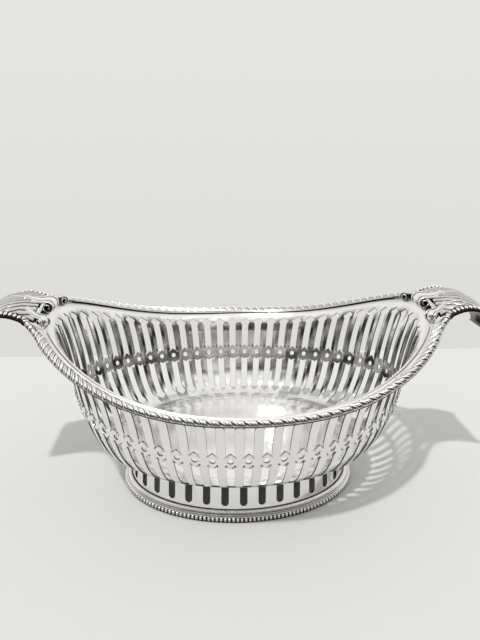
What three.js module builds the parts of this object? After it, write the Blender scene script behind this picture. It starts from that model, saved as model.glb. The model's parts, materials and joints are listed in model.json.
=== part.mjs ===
// Oval silver bread basket: a pierced, boat-shaped bowl on a pierced oval foot, with an applied
// gadroon rim that runs out at each end along a curled lip handle dressed with an acanthus leaf.
// Millimetres, +Z up, +X along the length. The origin is the centre of the base.

import * as THREE from 'three';
import { mergeVertices } from 'three/addons/utils/BufferGeometryUtils.js';

// Bowl: one raised sheet, lofted between its profile at the sides and its profile at the ends
const SHEET = 0.9;
const SADDLE_POWER = 2.3;
const SIDE_PROFILE = [
  [44.2, 25.3], [52.8, 26.9], [59.3, 31.0], [63.8, 37.2], [66.9, 44.6],
  [69.1, 52.6], [70.6, 60.5], [72.0, 68.0], [74.2, 74.5], [78.4, 79.6],
];
const END_PROFILE = [
  [64.6, 25.3], [75.2, 27.6], [82.2, 33.7], [87.0, 43.0], [90.3, 52.8],
  [92.4, 62.5], [94.5, 77.5], [97.0, 90.5], [100.4, 101.5], [107.0, 109.0],
];

// Piercing: stations up the profile, from 0 at the foot to 1 at the rim, and real widths. The tools
// keep their size all round, so the stations that one tool cuts draw together where the wall is tall.
const WALL_SLOTS = 60;
const LOWER_SLOT = { point: 0.15, broad: 0.205, neck: 0.24, middle: 0.37, shoulder: 0.51, notch: 0.483 };
const UPPER_SLOT = { notch: 0.615, shoulder: 0.588, neck: 0.83, broad: 0.862, point: 0.9 };
const TOOL_REACHES = [[0.15, 0.24], [0.483, 0.615], [0.83, 0.9]];
const TOOL_WALL = 70.0;
const HOLE = { station: 0.551, radius: 1.4, stationReach: 0.0175 };
const SLOT_WIDTH = { lower: 4.1, upper: 4.4 };
const HEAD_WIDTH = { lower: 6.4, upper: 6.9 };

// Foot: pierced collar, stepped moulding and corded border
const FOOT_SLOTS = 34;
const COLLAR = { wall: 0.9, bottom: 0.4, top: 25.0, base: [65.2, 44.2], neck: [63.2, 42.4] };
const FOOT_SLOT = { width: 4.0, bottom: 6.9, top: 21.5 };
const MOULDING_SECTION = [
  [0.3, 0.4], [0.3, 6.3], [1.3, 6.0], [2.2, 4.8], [3.7, 4.4], [4.0, 3.9], [0.9, 3.9], [0.9, 0.4],
];
const FOOT_CORD = { lobes: 40, offset: 2.75, halfWidth: 1.75, height: 3.4, shoulder: 1.5, swell: 0.32 };
const RING_STEPS = 44;
const FINE_STEPS = 1440;

// Rim: gadroon border along the bowl's edge and out along the handles, and a plain wire inside it
const RIM_GAP = 0.3;
const GADROON = { pitch: 5.4, halfWidth: 3.4, crest: 3.2, crestOut: 1.3, flank: 0.9, back: 0.8 };
const LOBE = { valley: 0.65, scallop: 0.5, slant: 5.4, easing: 4 };
const EDGE_CORD = { from: 0.02, to: 0.64, halfWidth: 1.7, height: 0.8, rise: 0.3, gap: 0.75 };
const NARROWING = [99, 105];
const TURNING = [105, 112];
const RIM_DROP = 0.6;
const RIM_WIRE = { radius: 0.6, station: 0.975, steps: 28, sides: 4, endAngle: 0.36 };
const HANDLE_ANGLE = 0.33;
const BORDER_ANGLE = 0.41;
const BORDER_STEPS = { edge: 14, rim: 24 };

// Handle: the path of its front edge as length, half-width and height, from the rim to the curl
const HANDLE_EDGE = [
  [110.0, 20.6, 107.2], [115.5, 19.8, 109.4], [121.5, 19.4, 110.4], [128.0, 19.0, 109.2],
  [134.0, 18.6, 105.6], [140.0, 18.0, 100.2], [144.1, 17.0, 94.0], [143.3, 14.6, 89.2],
  [139.3, 11.6, 88.2], [136.8, 8.6, 91.2],
];
const HANDLE = { rows: 13, columns: 6, sheet: 1.4, crown: 4.6, crownEnd: 0.66, rootCrown: 0.4 };

// Acanthus leaf on each handle, and the three scrolls that end it inside the rim
const LEAF = { rows: 9, columns: 8, sheet: 1.2, gap: 0.3, from: 0.06, to: 0.53, width: 0.86, lobes: 4 };
const LEAF_EDGE = { lobe: 0.07, vein: 0.55, shoulder: 0.45, reach: 0.58 };
const SCROLL = { rows: 9, sheet: 1.2, run: 0.25, radius: 2.4, sweep: 3.4, taper: 0.3 };
const SCROLLS = [
  { name: 'centre', across: 0, reach: 1.2, halfWidth: 6.0, centre: [-5.4, 0.0] },
  { name: 'front', across: -0.74, reach: 0.6, halfWidth: 2.6, centre: [-6.9, 0.95] },
  { name: 'back', across: 0.74, reach: 0.6, halfWidth: 2.6, centre: [-6.9, 0.95] },
];

const spread = (count) => Array.from({ length: count + 1 }, (_, i) => i / count);

const silver = (name, tone = 0xd9d7d2) =>
  new THREE.MeshStandardMaterial({ name, color: tone, roughness: 0.14, metalness: 1.0 });

const sideCurve = new THREE.SplineCurve(SIDE_PROFILE.map(([r, z]) => new THREE.Vector2(r, z)));
const endCurve = new THREE.SplineCurve(END_PROFILE.map(([r, z]) => new THREE.Vector2(r, z)));

// A point on the bowl's outer face, at an angle round the oval and a station up the profile
function bowlPoint(angle, station) {
  const side = sideCurve.getPoint(station);
  const end = endCurve.getPoint(station);
  const saddle = Math.abs(Math.cos(angle)) ** SADDLE_POWER;
  return new THREE.Vector3(
    end.x * Math.cos(angle),
    side.x * Math.sin(angle),
    side.y + (end.y - side.y) * saddle,
  );
}

// The outward normal of a surface given as a function of angle and station
function surfaceNormal(point, angle, station) {
  const step = 1e-4;
  const low = Math.max(station - step, 0);
  const high = Math.min(station + step, 1);
  const around = point(angle + step, station).sub(point(angle - step, station));
  const up = point(angle, high).sub(point(angle, low));
  return around.cross(up).normalize();
}

// The wall's length from the foot to the rim at an angle
function wallLength(angle) {
  const line = spread(16).map((s) => bowlPoint(angle, s));
  return line.slice(1).reduce((sum, p, i) => sum + p.distanceTo(line[i]), 0);
}

// Where a station of the nominal wall comes at an angle, with what one tool cuts kept at its size
function toolStation(angle, station) {
  const share = TOOL_WALL / wallLength(angle);
  const knots = TOOL_REACHES.flatMap(([low, high]) => {
    const middle = (low + high) / 2;
    return [low, high].map((end) => [end, middle + (end - middle) * share]);
  });
  const all = [[0, 0], ...knots, [1, 1]];
  const i = Math.max(all.findIndex(([nominal]) => nominal >= station), 1);
  return THREE.MathUtils.mapLinear(station, all[i - 1][0], all[i][0], all[i - 1][1], all[i][1]);
}

// Angles round an oval that split its perimeter into equal lengths, the first one on +Y
function equalAngles(point, count) {
  const turn = (i) => Math.PI / 2 + (2 * Math.PI * i) / FINE_STEPS;
  const lengths = [0];
  for (let i = 1; i <= FINE_STEPS; i += 1) {
    lengths.push(lengths[i - 1] + point(turn(i - 1)).distanceTo(point(turn(i))));
  }
  const angles = [];
  let i = 0;
  for (let k = 0; k < count; k += 1) {
    const target = (lengths[FINE_STEPS] * k) / count;
    while (lengths[i + 1] < target) i += 1;
    angles.push(turn(i + (target - lengths[i]) / (lengths[i + 1] - lengths[i])));
  }
  return angles;
}

// Collects triangles and closes them into one indexed geometry
class Facets {
  constructor() {
    this.positions = [];
  }

  triangle(a, b, c) {
    for (const p of [a, b, c]) this.positions.push(p.x, p.y, p.z);
  }

  quad(a, b, c, d) {
    this.triangle(a, b, c);
    this.triangle(a, c, d);
  }

  geometry() {
    const geometry = new THREE.BufferGeometry();
    geometry.setAttribute('position', new THREE.Float32BufferAttribute(this.positions, 3));
    const merged = mergeVertices(geometry, 1e-4);
    merged.computeVertexNormals();
    return merged;
  }
}

// A pierced sheet, built from rows of points round the oval. A row is { station, half, notch }: half
// is the half-width of the opening there, or 0 where the metal is whole, and notch is the station
// of the metal point that stands into the opening from its square end.
class PiercedSheet {
  constructor(point, angles, thickness, place = (angle, station) => station) {
    this.point = point;
    this.angles = angles;
    this.thickness = thickness;
    this.place = place;
    this.facets = new Facets();
  }

  pair(angle, station) {
    const outer = this.point(angle, station);
    const inward = surfaceNormal(this.point, angle, station).multiplyScalar(-this.thickness);
    return { outer, inner: outer.clone().add(inward) };
  }

  // The opening's two edges in one bay, or one point on its centre line twice where there is none
  bay(row, angle) {
    const station = this.place(angle, row.station);
    if (row.half === 0) {
      const centre = this.pair(angle, station);
      return { left: centre, right: centre };
    }
    const step = 1e-3;
    const rate = this.point(angle + step, station).distanceTo(this.point(angle, station)) / step;
    const turn = row.half / rate;
    return { left: this.pair(angle - turn, station), right: this.pair(angle + turn, station) };
  }

  skin(a, b, c, d) {
    this.facets.quad(a.outer, b.outer, c.outer, d.outer);
    this.facets.quad(d.inner, c.inner, b.inner, a.inner);
  }

  corner(a, b, c) {
    this.facets.triangle(a.outer, b.outer, c.outer);
    this.facets.triangle(c.inner, b.inner, a.inner);
  }

  // The sheet's cut edge, from one pair of points to the next, with the metal on the left
  edge(from, to) {
    this.facets.quad(from.outer, to.outer, to.inner, from.inner);
  }

  // Closes a square slot end with its metal point, which stands into the opening
  notchedEnd(opening, angle, notchStation, beyond, metalAbove) {
    const tip = this.pair(angle, this.place(angle, notchStation));
    const { left, right } = opening;
    if (metalAbove) {
      this.corner(left, tip, beyond);
      this.corner(tip, right, beyond);
      this.edge(tip, left);
      this.edge(right, tip);
    } else {
      this.corner(left, beyond, tip);
      this.corner(tip, beyond, right);
      this.edge(left, tip);
      this.edge(tip, right);
    }
  }

  build(rows, rims) {
    const bays = rows.map((row) => this.angles.map((angle) => this.bay(row, angle)));
    const count = this.angles.length;
    for (let r = 0; r + 1 < rows.length; r += 1) {
      for (let k = 0; k < count; k += 1) {
        const low = bays[r][k];
        const high = bays[r + 1][k];
        const nextLow = bays[r][(k + 1) % count];
        const nextHigh = bays[r + 1][(k + 1) % count];
        this.skin(low.right, nextLow.left, nextHigh.left, high.right);
        this.openingSides(rows, r, low, high, this.angles[k]);
      }
    }
    if (rims.bottom) this.rim(bays[0], true);
    if (rims.top) this.rim(bays[rows.length - 1], false);
    return this;
  }

  openingSides(rows, r, low, high, angle) {
    const below = rows[r];
    const above = rows[r + 1];
    if (below.half > 0 && above.half === 0 && above.notch === undefined && below.notch !== undefined) {
      this.notchedEnd(low, angle, below.notch, high.left, true);
    } else if (below.half === 0 && above.half > 0 && above.notch !== undefined) {
      this.notchedEnd(high, angle, above.notch, low.left, false);
    } else if (below.half > 0 || above.half > 0) {
      this.edge(high.left, low.left);
      this.edge(low.right, high.right);
    }
  }

  rim(bays, bottom) {
    for (let k = 0; k < bays.length; k += 1) {
      const here = bays[k].left;
      const next = bays[(k + 1) % bays.length].left;
      if (bottom) this.edge(next, here);
      else this.edge(here, next);
    }
  }

  geometry() {
    return this.facets.geometry();
  }
}

// Rows of one wall bay, from the foot to the rim
function wallRows() {
  const lower = SLOT_WIDTH.lower / 2;
  const upper = SLOT_WIDTH.upper / 2;
  const reach = HOLE.stationReach;
  const flat = HOLE.radius * Math.cos(Math.PI / 6);
  return [
    { station: 0, half: 0 },
    { station: LOWER_SLOT.point, half: 0 },
    { station: LOWER_SLOT.broad, half: HEAD_WIDTH.lower / 2 },
    { station: LOWER_SLOT.neck, half: lower },
    { station: LOWER_SLOT.middle, half: lower },
    { station: LOWER_SLOT.shoulder, half: lower, notch: LOWER_SLOT.notch },
    { station: HOLE.station - reach, half: 0 },
    { station: HOLE.station - reach / 2, half: flat },
    { station: HOLE.station + reach / 2, half: flat },
    { station: HOLE.station + reach, half: 0 },
    { station: UPPER_SLOT.shoulder, half: upper, notch: UPPER_SLOT.notch },
    { station: UPPER_SLOT.neck, half: upper },
    { station: UPPER_SLOT.broad, half: HEAD_WIDTH.upper / 2 },
    { station: UPPER_SLOT.point, half: 0 },
    { station: 1, half: 0 },
  ];
}

function makeBowl() {
  const angles = equalAngles((a) => bowlPoint(a, HOLE.station), WALL_SLOTS);
  const sheet = new PiercedSheet(bowlPoint, angles, SHEET, toolStation);
  sheet.build(wallRows(), { bottom: false, top: true });
  const under = new THREE.Vector3(0, 0, SIDE_PROFILE[0][1]);
  const floor = new THREE.Vector3(0, 0, SIDE_PROFILE[0][1] + SHEET);
  angles.forEach((angle, k) => {
    const here = sheet.pair(angle, 0);
    const next = sheet.pair(angles[(k + 1) % angles.length], 0);
    sheet.facets.triangle(under, next.outer, here.outer);
    sheet.facets.triangle(floor, here.inner, next.inner);
  });
  return sheet.geometry();
}

function collarPoint(angle, station) {
  const a = THREE.MathUtils.lerp(COLLAR.base[0], COLLAR.neck[0], station);
  const b = THREE.MathUtils.lerp(COLLAR.base[1], COLLAR.neck[1], station);
  const z = THREE.MathUtils.lerp(COLLAR.bottom, COLLAR.top, station);
  return new THREE.Vector3(a * Math.cos(angle), b * Math.sin(angle), z);
}

// Rows of one collar bay: a tall slot with a round end at the bottom and the top
function collarRows() {
  const at = (z) => (z - COLLAR.bottom) / (COLLAR.top - COLLAR.bottom);
  const r = FOOT_SLOT.width / 2;
  const diagonal = r * Math.SQRT1_2;
  return [
    { station: 0, half: 0 },
    { station: at(FOOT_SLOT.bottom), half: 0 },
    { station: at(FOOT_SLOT.bottom + r - diagonal), half: diagonal },
    { station: at(FOOT_SLOT.bottom + r), half: r },
    { station: at(FOOT_SLOT.top - r), half: r },
    { station: at(FOOT_SLOT.top - r + diagonal), half: diagonal },
    { station: at(FOOT_SLOT.top), half: 0 },
    { station: 1, half: 0 },
  ];
}

function makeCollar() {
  const angles = equalAngles((a) => collarPoint(a, 0), FOOT_SLOTS);
  return new PiercedSheet(collarPoint, angles, COLLAR.wall)
    .build(collarRows(), { bottom: true, top: true })
    .geometry();
}

// A closed body through rings of points that all turn the same way. A closed loop has no ends.
function loft(rings, loop) {
  const facets = new Facets();
  const count = rings[0].length;
  const last = loop ? rings.length : rings.length - 1;
  for (let i = 0; i < last; i += 1) {
    const ring = rings[i];
    const next = rings[(i + 1) % rings.length];
    for (let k = 0; k < count; k += 1) {
      const m = (k + 1) % count;
      facets.quad(ring[k], ring[m], next[m], next[k]);
    }
  }
  if (!loop) {
    const start = rings[0];
    const end = rings[rings.length - 1];
    for (let k = 1; k + 1 < count; k += 1) {
      facets.triangle(start[0], start[k + 1], start[k]);
      facets.triangle(end[0], end[k], end[k + 1]);
    }
  }
  return facets.geometry();
}

// A point outside an oval of the collar's base, by an offset square to it and a height
function footPoint(angle, offset, z) {
  const [a, b] = COLLAR.base;
  const normal = new THREE.Vector2(Math.cos(angle) / a, Math.sin(angle) / b).normalize();
  return new THREE.Vector3(
    a * Math.cos(angle) + normal.x * offset,
    b * Math.sin(angle) + normal.y * offset,
    z,
  );
}

function makeFootMoulding() {
  const angles = equalAngles((a) => footPoint(a, 0, 0), RING_STEPS);
  return loft(angles.map((a) => MOULDING_SECTION.map(([o, z]) => footPoint(a, o, z))), true);
}

// The cord that edges the foot: its lobes swell and close in turn, and it stands flat on its base
function makeFootCord() {
  const { lobes, offset, halfWidth, height, shoulder, swell } = FOOT_CORD;
  const angles = equalAngles((a) => footPoint(a, offset, 0), lobes * 2);
  const rings = angles.map((a, i) => {
    const cut = i % 2 === 0 ? 0 : swell;
    return [
      footPoint(a, offset - halfWidth, height - swell),
      footPoint(a, offset + halfWidth / 3, height - cut),
      footPoint(a, offset + halfWidth - cut, shoulder),
      footPoint(a, offset + halfWidth - swell, 0),
      footPoint(a, offset - halfWidth + swell, 0),
    ];
  });
  return loft(rings, true);
}

const handleEdge = new THREE.CatmullRomCurve3(
  HANDLE_EDGE.map(([x, w, z]) => new THREE.Vector3(x, w, z)),
  false,
  'centripetal',
);

// Turns a point made for the handle at +X to the handle at the given end
const toEnd = (p, end) => new THREE.Vector3(end * p.x, end * p.y, p.z);

// The square-on direction out of the handle's upper face, in the plane of its length and height
function handleLift(t) {
  const tangent = handleEdge.getTangent(t);
  return new THREE.Vector3(-tangent.z, 0, tangent.x).normalize();
}

// A point of the handle's upper face: t from the rim's end to the curl, c across it from -1 to 1
function handlePoint(t, c) {
  const edge = handleEdge.getPoint(t);
  const crown = HANDLE.crown * Math.max(1 - t / HANDLE.crownEnd, 0) * (1 - c * c);
  return new THREE.Vector3(edge.x, edge.y * c, edge.z).addScaledVector(handleLift(t), crown);
}

// The handle's root, laid along the bowl's edge from one rim border to the other
function rootPoint(c) {
  const angle = HANDLE_ANGLE * c;
  const crown = HANDLE.crown * HANDLE.rootCrown * (1 - c * c);
  const out = new THREE.Vector3(Math.cos(angle), Math.sin(angle), 0);
  return bowlPoint(angle, 1).addScaledVector(out, RIM_GAP).add(new THREE.Vector3(0, 0, crown));
}

// A closed plate under a grid of points, its thickness measured square to the grid
function plate(grid, thickness) {
  const rows = grid.length;
  const columns = grid[0].length;
  const at = (i, k) => grid[Math.min(Math.max(i, 0), rows - 1)][Math.min(Math.max(k, 0), columns - 1)];
  const under = grid.map((row, i) => row.map((p, k) => {
    const along = at(i + 1, k).clone().sub(at(i - 1, k));
    const across = at(i, k + 1).clone().sub(at(i, k - 1));
    return p.clone().addScaledVector(along.cross(across).normalize(), -thickness);
  }));
  const facets = new Facets();
  for (let i = 0; i + 1 < rows; i += 1) {
    for (let k = 0; k + 1 < columns; k += 1) {
      facets.quad(grid[i][k], grid[i + 1][k], grid[i + 1][k + 1], grid[i][k + 1]);
      facets.quad(under[i][k], under[i][k + 1], under[i + 1][k + 1], under[i + 1][k]);
    }
    const e = columns - 1;
    facets.quad(grid[i][0], under[i][0], under[i + 1][0], grid[i + 1][0]);
    facets.quad(grid[i][e], grid[i + 1][e], under[i + 1][e], under[i][e]);
  }
  for (let k = 0; k + 1 < columns; k += 1) {
    const e = rows - 1;
    facets.quad(grid[0][k], grid[0][k + 1], under[0][k + 1], under[0][k]);
    facets.quad(grid[e][k], under[e][k], under[e][k + 1], grid[e][k + 1]);
  }
  return facets.geometry();
}

function makeHandle(end) {
  const across = spread(HANDLE.columns).map((s) => 2 * s - 1);
  const grid = [across.map((c) => toEnd(rootPoint(c), end))];
  for (const t of spread(HANDLE.rows)) {
    grid.push(across.map((c) => toEnd(handlePoint(t, c), end)));
  }
  return plate(grid, HANDLE.sheet);
}

// The leaf's half-width as a share of the handle's: lobes along its edge, closing to a round tip
function leafWidth(s) {
  const tip = Math.sqrt(1 - (Math.max(s - LEAF_EDGE.shoulder, 0) / LEAF_EDGE.reach) ** 2);
  return (LEAF.width + LEAF_EDGE.lobe * Math.sin(2 * Math.PI * LEAF.lobes * s)) * tip;
}

// The leaf lies on the handle's upper face, with every second line of its points raised as a vein
function makeLeaf(end) {
  const across = spread(LEAF.columns).map((s) => 2 * s - 1);
  const grid = spread(LEAF.rows).map((s) => {
    const t = THREE.MathUtils.lerp(LEAF.from, LEAF.to, s);
    const lift = handleLift(t);
    return across.map((c, k) => {
      const height = LEAF.sheet + LEAF.gap + (k % 2 === 0 ? LEAF_EDGE.vein : 0);
      return toEnd(handlePoint(t, c * leafWidth(s)).addScaledVector(lift, height), end);
    });
  });
  return plate(grid, LEAF.sheet);
}

// The scroll's outline, as distance out from the rim and height over it. It leaves the handle at
// start, a distance and a height, runs in over the rim and rolls down round its centre inside it.
function scrollOutline(s, start, [x, z]) {
  if (s < SCROLL.run) {
    const run = s / SCROLL.run;
    return [THREE.MathUtils.lerp(start[0], x, run), THREE.MathUtils.lerp(start[1], z + SCROLL.radius, run)];
  }
  const turned = (s - SCROLL.run) / (1 - SCROLL.run);
  const radius = SCROLL.radius * (1 - SCROLL.taper * turned);
  const angle = Math.PI / 2 + SCROLL.sweep * turned;
  return [x + radius * Math.cos(angle), z + radius * Math.sin(angle)];
}

// One scroll: a tapering tongue that springs from the handle in front of the leaf
function makeScroll(end, { across, reach, halfWidth, centre }) {
  const place = end * across;
  const rim = bowlPoint(HANDLE_ANGLE * place, 1);
  const spring = handlePoint(0, place).sub(rim);
  const start = [Math.hypot(spring.x, spring.y) + reach, spring.z + SCROLL.sheet + RIM_GAP];
  const out = spring.setZ(0).normalize();
  const side = new THREE.Vector3(-out.y, out.x, 0);
  const grid = spread(SCROLL.rows).map((s) => {
    const [away, height] = scrollOutline(s, start, centre);
    const half = halfWidth * (1 - SCROLL.taper * s);
    return [1, -1].map((c) => {
      const point = rim.clone().addScaledVector(out, away).addScaledVector(side, -c * half);
      return toEnd(point.setZ(rim.z + height), end);
    });
  });
  return plate(grid, SCROLL.sheet);
}

// The line that one rim border follows: out of the curl of one handle, round the bowl's edge and
// into the curl of the other. side is 1 for the back border and -1 for the front one.
function borderPath(side) {
  const points = spread(BORDER_STEPS.edge).map((s) => {
    const p = handleEdge.getPoint(THREE.MathUtils.lerp(EDGE_CORD.to, EDGE_CORD.from, s));
    return p.add(new THREE.Vector3(0, EDGE_CORD.halfWidth + EDGE_CORD.gap, EDGE_CORD.rise));
  });
  const [endRim, sideRim] = [END_PROFILE.at(-1)[0], SIDE_PROFILE.at(-1)[0]];
  for (const s of spread(BORDER_STEPS.rim)) {
    const angle = THREE.MathUtils.lerp(BORDER_ANGLE, Math.PI / 2, s);
    const out = new THREE.Vector3(Math.cos(angle) / endRim, Math.sin(angle) / sideRim, 0).normalize();
    const edge = bowlPoint(angle, 1).addScaledVector(out, GADROON.halfWidth + RIM_GAP);
    points.push(edge.setZ(edge.z - RIM_DROP));
  }
  const mirrored = points.slice(0, -1).reverse().map((p) => new THREE.Vector3(-p.x, p.y, p.z));
  const all = points.concat(mirrored).map((p) => new THREE.Vector3(p.x, side * p.y, p.z));
  return new THREE.CatmullRomCurve3(all, false, 'centripetal');
}

// The border's section as [inward, up], on the crest of a lobe or between two of them. It narrows
// to a cord where it passes on to the handle.
function borderSection(x, onCrest) {
  const handleShare = THREE.MathUtils.smoothstep(Math.abs(x), ...NARROWING);
  const half = THREE.MathUtils.lerp(GADROON.halfWidth, EDGE_CORD.halfWidth, handleShare);
  const rise = (onCrest ? 1 : LOBE.valley) * THREE.MathUtils.lerp(1, EDGE_CORD.height, handleShare);
  const outer = onCrest ? half : half - LOBE.scallop;
  const { crest, flank, back } = GADROON;
  const crestOut = (GADROON.crestOut * half) / GADROON.halfWidth;
  return [
    [-outer, -back], [half, -back], [half, flank * rise], [-crestOut, crest * rise], [-outer, flank * rise],
  ];
}

// The directions square to a border's path: inwards, level at the rim and straight across on the
// handle, and up out of it
function borderFrame(tangent, x, side) {
  const level = new THREE.Vector3(-tangent.y, tangent.x, 0).normalize().multiplyScalar(side);
  const across = new THREE.Vector3(0, -side, 0);
  const inwards = level.lerp(across, THREE.MathUtils.smoothstep(Math.abs(x), ...TURNING));
  inwards.addScaledVector(tangent, -inwards.dot(tangent)).normalize();
  return { inwards, lift: tangent.clone().cross(inwards).multiplyScalar(side) };
}

// The gadroon border: a flat-backed moulding whose lobes swell and close in turn. They slant, with
// their outer ends shifted counterclockwise all round.
function makeBorder(side) {
  const path = borderPath(side);
  const length = path.getLength();
  const steps = 2 * Math.round(length / GADROON.pitch);
  const rings = spread(steps).map((s, i) => {
    const eased = Math.min(i, steps - i, LOBE.easing) / LOBE.easing;
    const section = borderSection(path.getPointAt(s).x, i % 2 === 0);
    return section.map(([inward, up]) => {
      const slide = (-side * eased * LOBE.slant * inward) / GADROON.halfWidth / length;
      const at = THREE.MathUtils.clamp(s + slide, 0, 1);
      const p = path.getPointAt(at);
      const { inwards, lift } = borderFrame(path.getTangentAt(at), p.x, side);
      return p.addScaledVector(inwards, inward).addScaledVector(lift, up);
    });
  });
  if (side < 0) rings.forEach((ring) => ring.reverse());
  return loft(rings, false);
}

// A plain wire along the inside of the bowl, just under its edge
function makeRimWire(side) {
  const { radius, station, steps, sides, endAngle } = RIM_WIRE;
  const away = SHEET + RIM_GAP + radius;
  const rings = spread(steps).map((s) => {
    const angle = side * THREE.MathUtils.lerp(endAngle, Math.PI - endAngle, s);
    const outward = surfaceNormal(bowlPoint, angle, station);
    const centre = bowlPoint(angle, station).addScaledVector(outward, -away);
    const up = new THREE.Vector3(0, 0, 1).addScaledVector(outward, -outward.z).normalize();
    return spread(sides).slice(0, sides).map((k) => {
      const turn = side * 2 * Math.PI * (k + 0.5 / sides);
      return centre.clone()
        .addScaledVector(outward, -radius * Math.cos(turn))
        .addScaledVector(up, radius * Math.sin(turn));
    });
  });
  return loft(rings, false);
}

const basket = new THREE.Group();

function addPiece(name, geometry, tone) {
  const mesh = new THREE.Mesh(geometry, silver(name, tone));
  mesh.name = name;
  basket.add(mesh);
}

addPiece('pierced_bowl', makeBowl(), 0xdad8d3);
addPiece('foot_collar', makeCollar(), 0xcfc8be);
addPiece('foot_moulding', makeFootMoulding(), 0xcfcdc8);
addPiece('foot_border', makeFootCord(), 0xc9c7c2);
addPiece('rim_border_back', makeBorder(1), 0xd6d4cf);
addPiece('rim_border_front', makeBorder(-1), 0xd6d4cf);
addPiece('rim_wire_back', makeRimWire(1), 0xe0deda);
addPiece('rim_wire_front', makeRimWire(-1), 0xe0deda);
for (const [hand, end] of [['right', 1], ['left', -1]]) {
  addPiece(`handle_${hand}`, makeHandle(end), 0xd2d0cb);
  addPiece(`leaf_${hand}`, makeLeaf(end), 0xdcdad5);
  for (const scroll of SCROLLS) {
    addPiece(`scroll_${scroll.name}_${hand}`, makeScroll(end, scroll), 0xdcdad5);
  }
}

export default basket;
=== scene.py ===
"""The finished look of an oval pierced silver bread basket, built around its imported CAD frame.

Every piece is modelled flat or straight at its real size in millimetres, as the silversmith cuts
and casts it, then laid on the basket's form. The object is in metres, +Z up, +X along its length.
"""

import json
import logging
import math
from contextlib import contextmanager
from dataclasses import dataclass
from enum import Enum
from typing import Callable, Iterator, Optional, Sequence

import bmesh
import bpy
import numpy as np
from bpy.types import Node, NodeSocket as Socket, NodeTree
from mathutils import Matrix, Vector

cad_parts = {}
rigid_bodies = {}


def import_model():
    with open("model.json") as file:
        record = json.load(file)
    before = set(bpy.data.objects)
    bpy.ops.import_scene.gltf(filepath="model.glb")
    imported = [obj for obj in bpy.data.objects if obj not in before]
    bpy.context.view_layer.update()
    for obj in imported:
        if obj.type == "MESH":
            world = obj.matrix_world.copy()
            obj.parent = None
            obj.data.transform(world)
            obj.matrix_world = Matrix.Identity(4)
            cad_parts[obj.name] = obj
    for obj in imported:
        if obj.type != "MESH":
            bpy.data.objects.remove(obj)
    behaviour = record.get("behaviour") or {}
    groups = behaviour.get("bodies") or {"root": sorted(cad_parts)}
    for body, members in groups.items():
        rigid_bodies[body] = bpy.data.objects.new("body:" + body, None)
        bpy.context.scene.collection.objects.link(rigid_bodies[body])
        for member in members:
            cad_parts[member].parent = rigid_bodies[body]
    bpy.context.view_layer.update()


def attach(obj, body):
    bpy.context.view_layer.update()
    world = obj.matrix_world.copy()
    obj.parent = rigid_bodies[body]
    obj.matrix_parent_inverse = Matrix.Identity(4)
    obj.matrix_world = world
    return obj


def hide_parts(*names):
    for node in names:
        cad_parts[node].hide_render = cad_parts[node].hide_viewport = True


log = logging.getLogger("bread_basket")

MM = 0.001
BODY = "root"
NEAR = 1e-3
ANGLE_STEP = 1e-3
RING_SAMPLES = 2881
ROUND_STEPS = 720
SEAM = 2e-6
SHEET_SEAM = 4e-6
ROW_SEAM = 0.004
MIRROR_SEAM = 0.002
ARC_ROWS = 7
NOISE_RANGE = (0.3, 0.7)
Array = np.ndarray
Form = Callable[[Array], Array]
Piece = bpy.types.Object


class Side(Enum):
    """The long sides of the basket, by the sign of their Y."""

    BACK = 1
    FRONT = -1


class End(Enum):
    """The ends of the basket, by the sign of their X."""

    RIGHT = 1
    LEFT = -1


class Slot(Enum):
    """The record's material slots."""

    PLAIN = "silver"
    CHASED = "silver_chased"


# Forms shared by the pieces


def unit(v: Array) -> Array:
    """Scales vectors to length one."""
    return v / np.maximum(np.linalg.norm(v, axis=-1, keepdims=True), 1e-12)


def smoothstep(low: float, high: float, x: Array) -> Array:
    """Eases from 0 at low to 1 at high."""
    s = np.clip((x - low) / (high - low), 0.0, 1.0)
    return s * s * (3 - 2 * s)


def band(edges: Sequence[float], x: Array) -> Array:
    """Eases from 0 to 1 between the first two edges and back to 0 between the last two."""
    return smoothstep(edges[0], edges[1], x) * smoothstep(edges[3], edges[2], x)


def square_out(angle: Array, a: float = 1.0, b: float = 1.0) -> Array:
    """The level directions square to an oval, from its half-axes."""
    return unit(np.stack([np.cos(angle) / a, np.sin(angle) / b, np.zeros_like(angle)], axis=-1))


def half_wave(x: Array) -> Array:
    """Swells from 0 at 0 to 1 and back to 0 at 1."""
    return np.maximum(np.sin(math.pi * x), 0.0)


def turned(points: Array, end: End) -> Array:
    """Turns points made for the +X end about the middle to the given end."""
    return points * np.array([end.value, end.value, 1.0])


def curve(points: Sequence[Sequence[float]], t: Array, evenly: bool = True) -> Array:
    """Evaluates a smooth curve through knots, as the CAD does.

    Args:
        points: The curve's knots.
        t: Places along it, from 0 to 1.
        evenly: Whether the knots count as evenly spaced, or by how far apart they lie.

    Returns:
        One point for each place.
    """
    knots = np.asarray(points, float)
    reach = 0.0 if evenly else 1.0
    first, last = ((1 + reach) * knots[i] - reach * knots[j] for i, j in ((0, 1), (-1, -2)))
    padded = np.vstack([first, knots, last])
    place = np.clip(np.asarray(t, float), 0.0, 1.0) * (len(knots) - 1)
    i = np.minimum(place.astype(int), len(knots) - 2)
    w = (place - i)[..., None]
    x0, x1, x2, x3 = (padded[i + k] for k in range(4))
    d0, d1, d2 = (np.linalg.norm(b - a, axis=-1, keepdims=True) ** (reach / 2)
                  for a, b in ((x0, x1), (x1, x2), (x2, x3)))
    v1 = ((x1 - x0) / d0 - (x2 - x0) / (d0 + d1) + (x2 - x1) / d1) * d1
    v2 = ((x2 - x1) / d1 - (x3 - x1) / (d1 + d2) + (x3 - x2) / d2) * d1
    return (2 * x1 - 2 * x2 + v1 + v2) * w**3 + (3 * x2 - 3 * x1 - 2 * v1 - v2) * w**2 + v1 * w + x1


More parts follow.
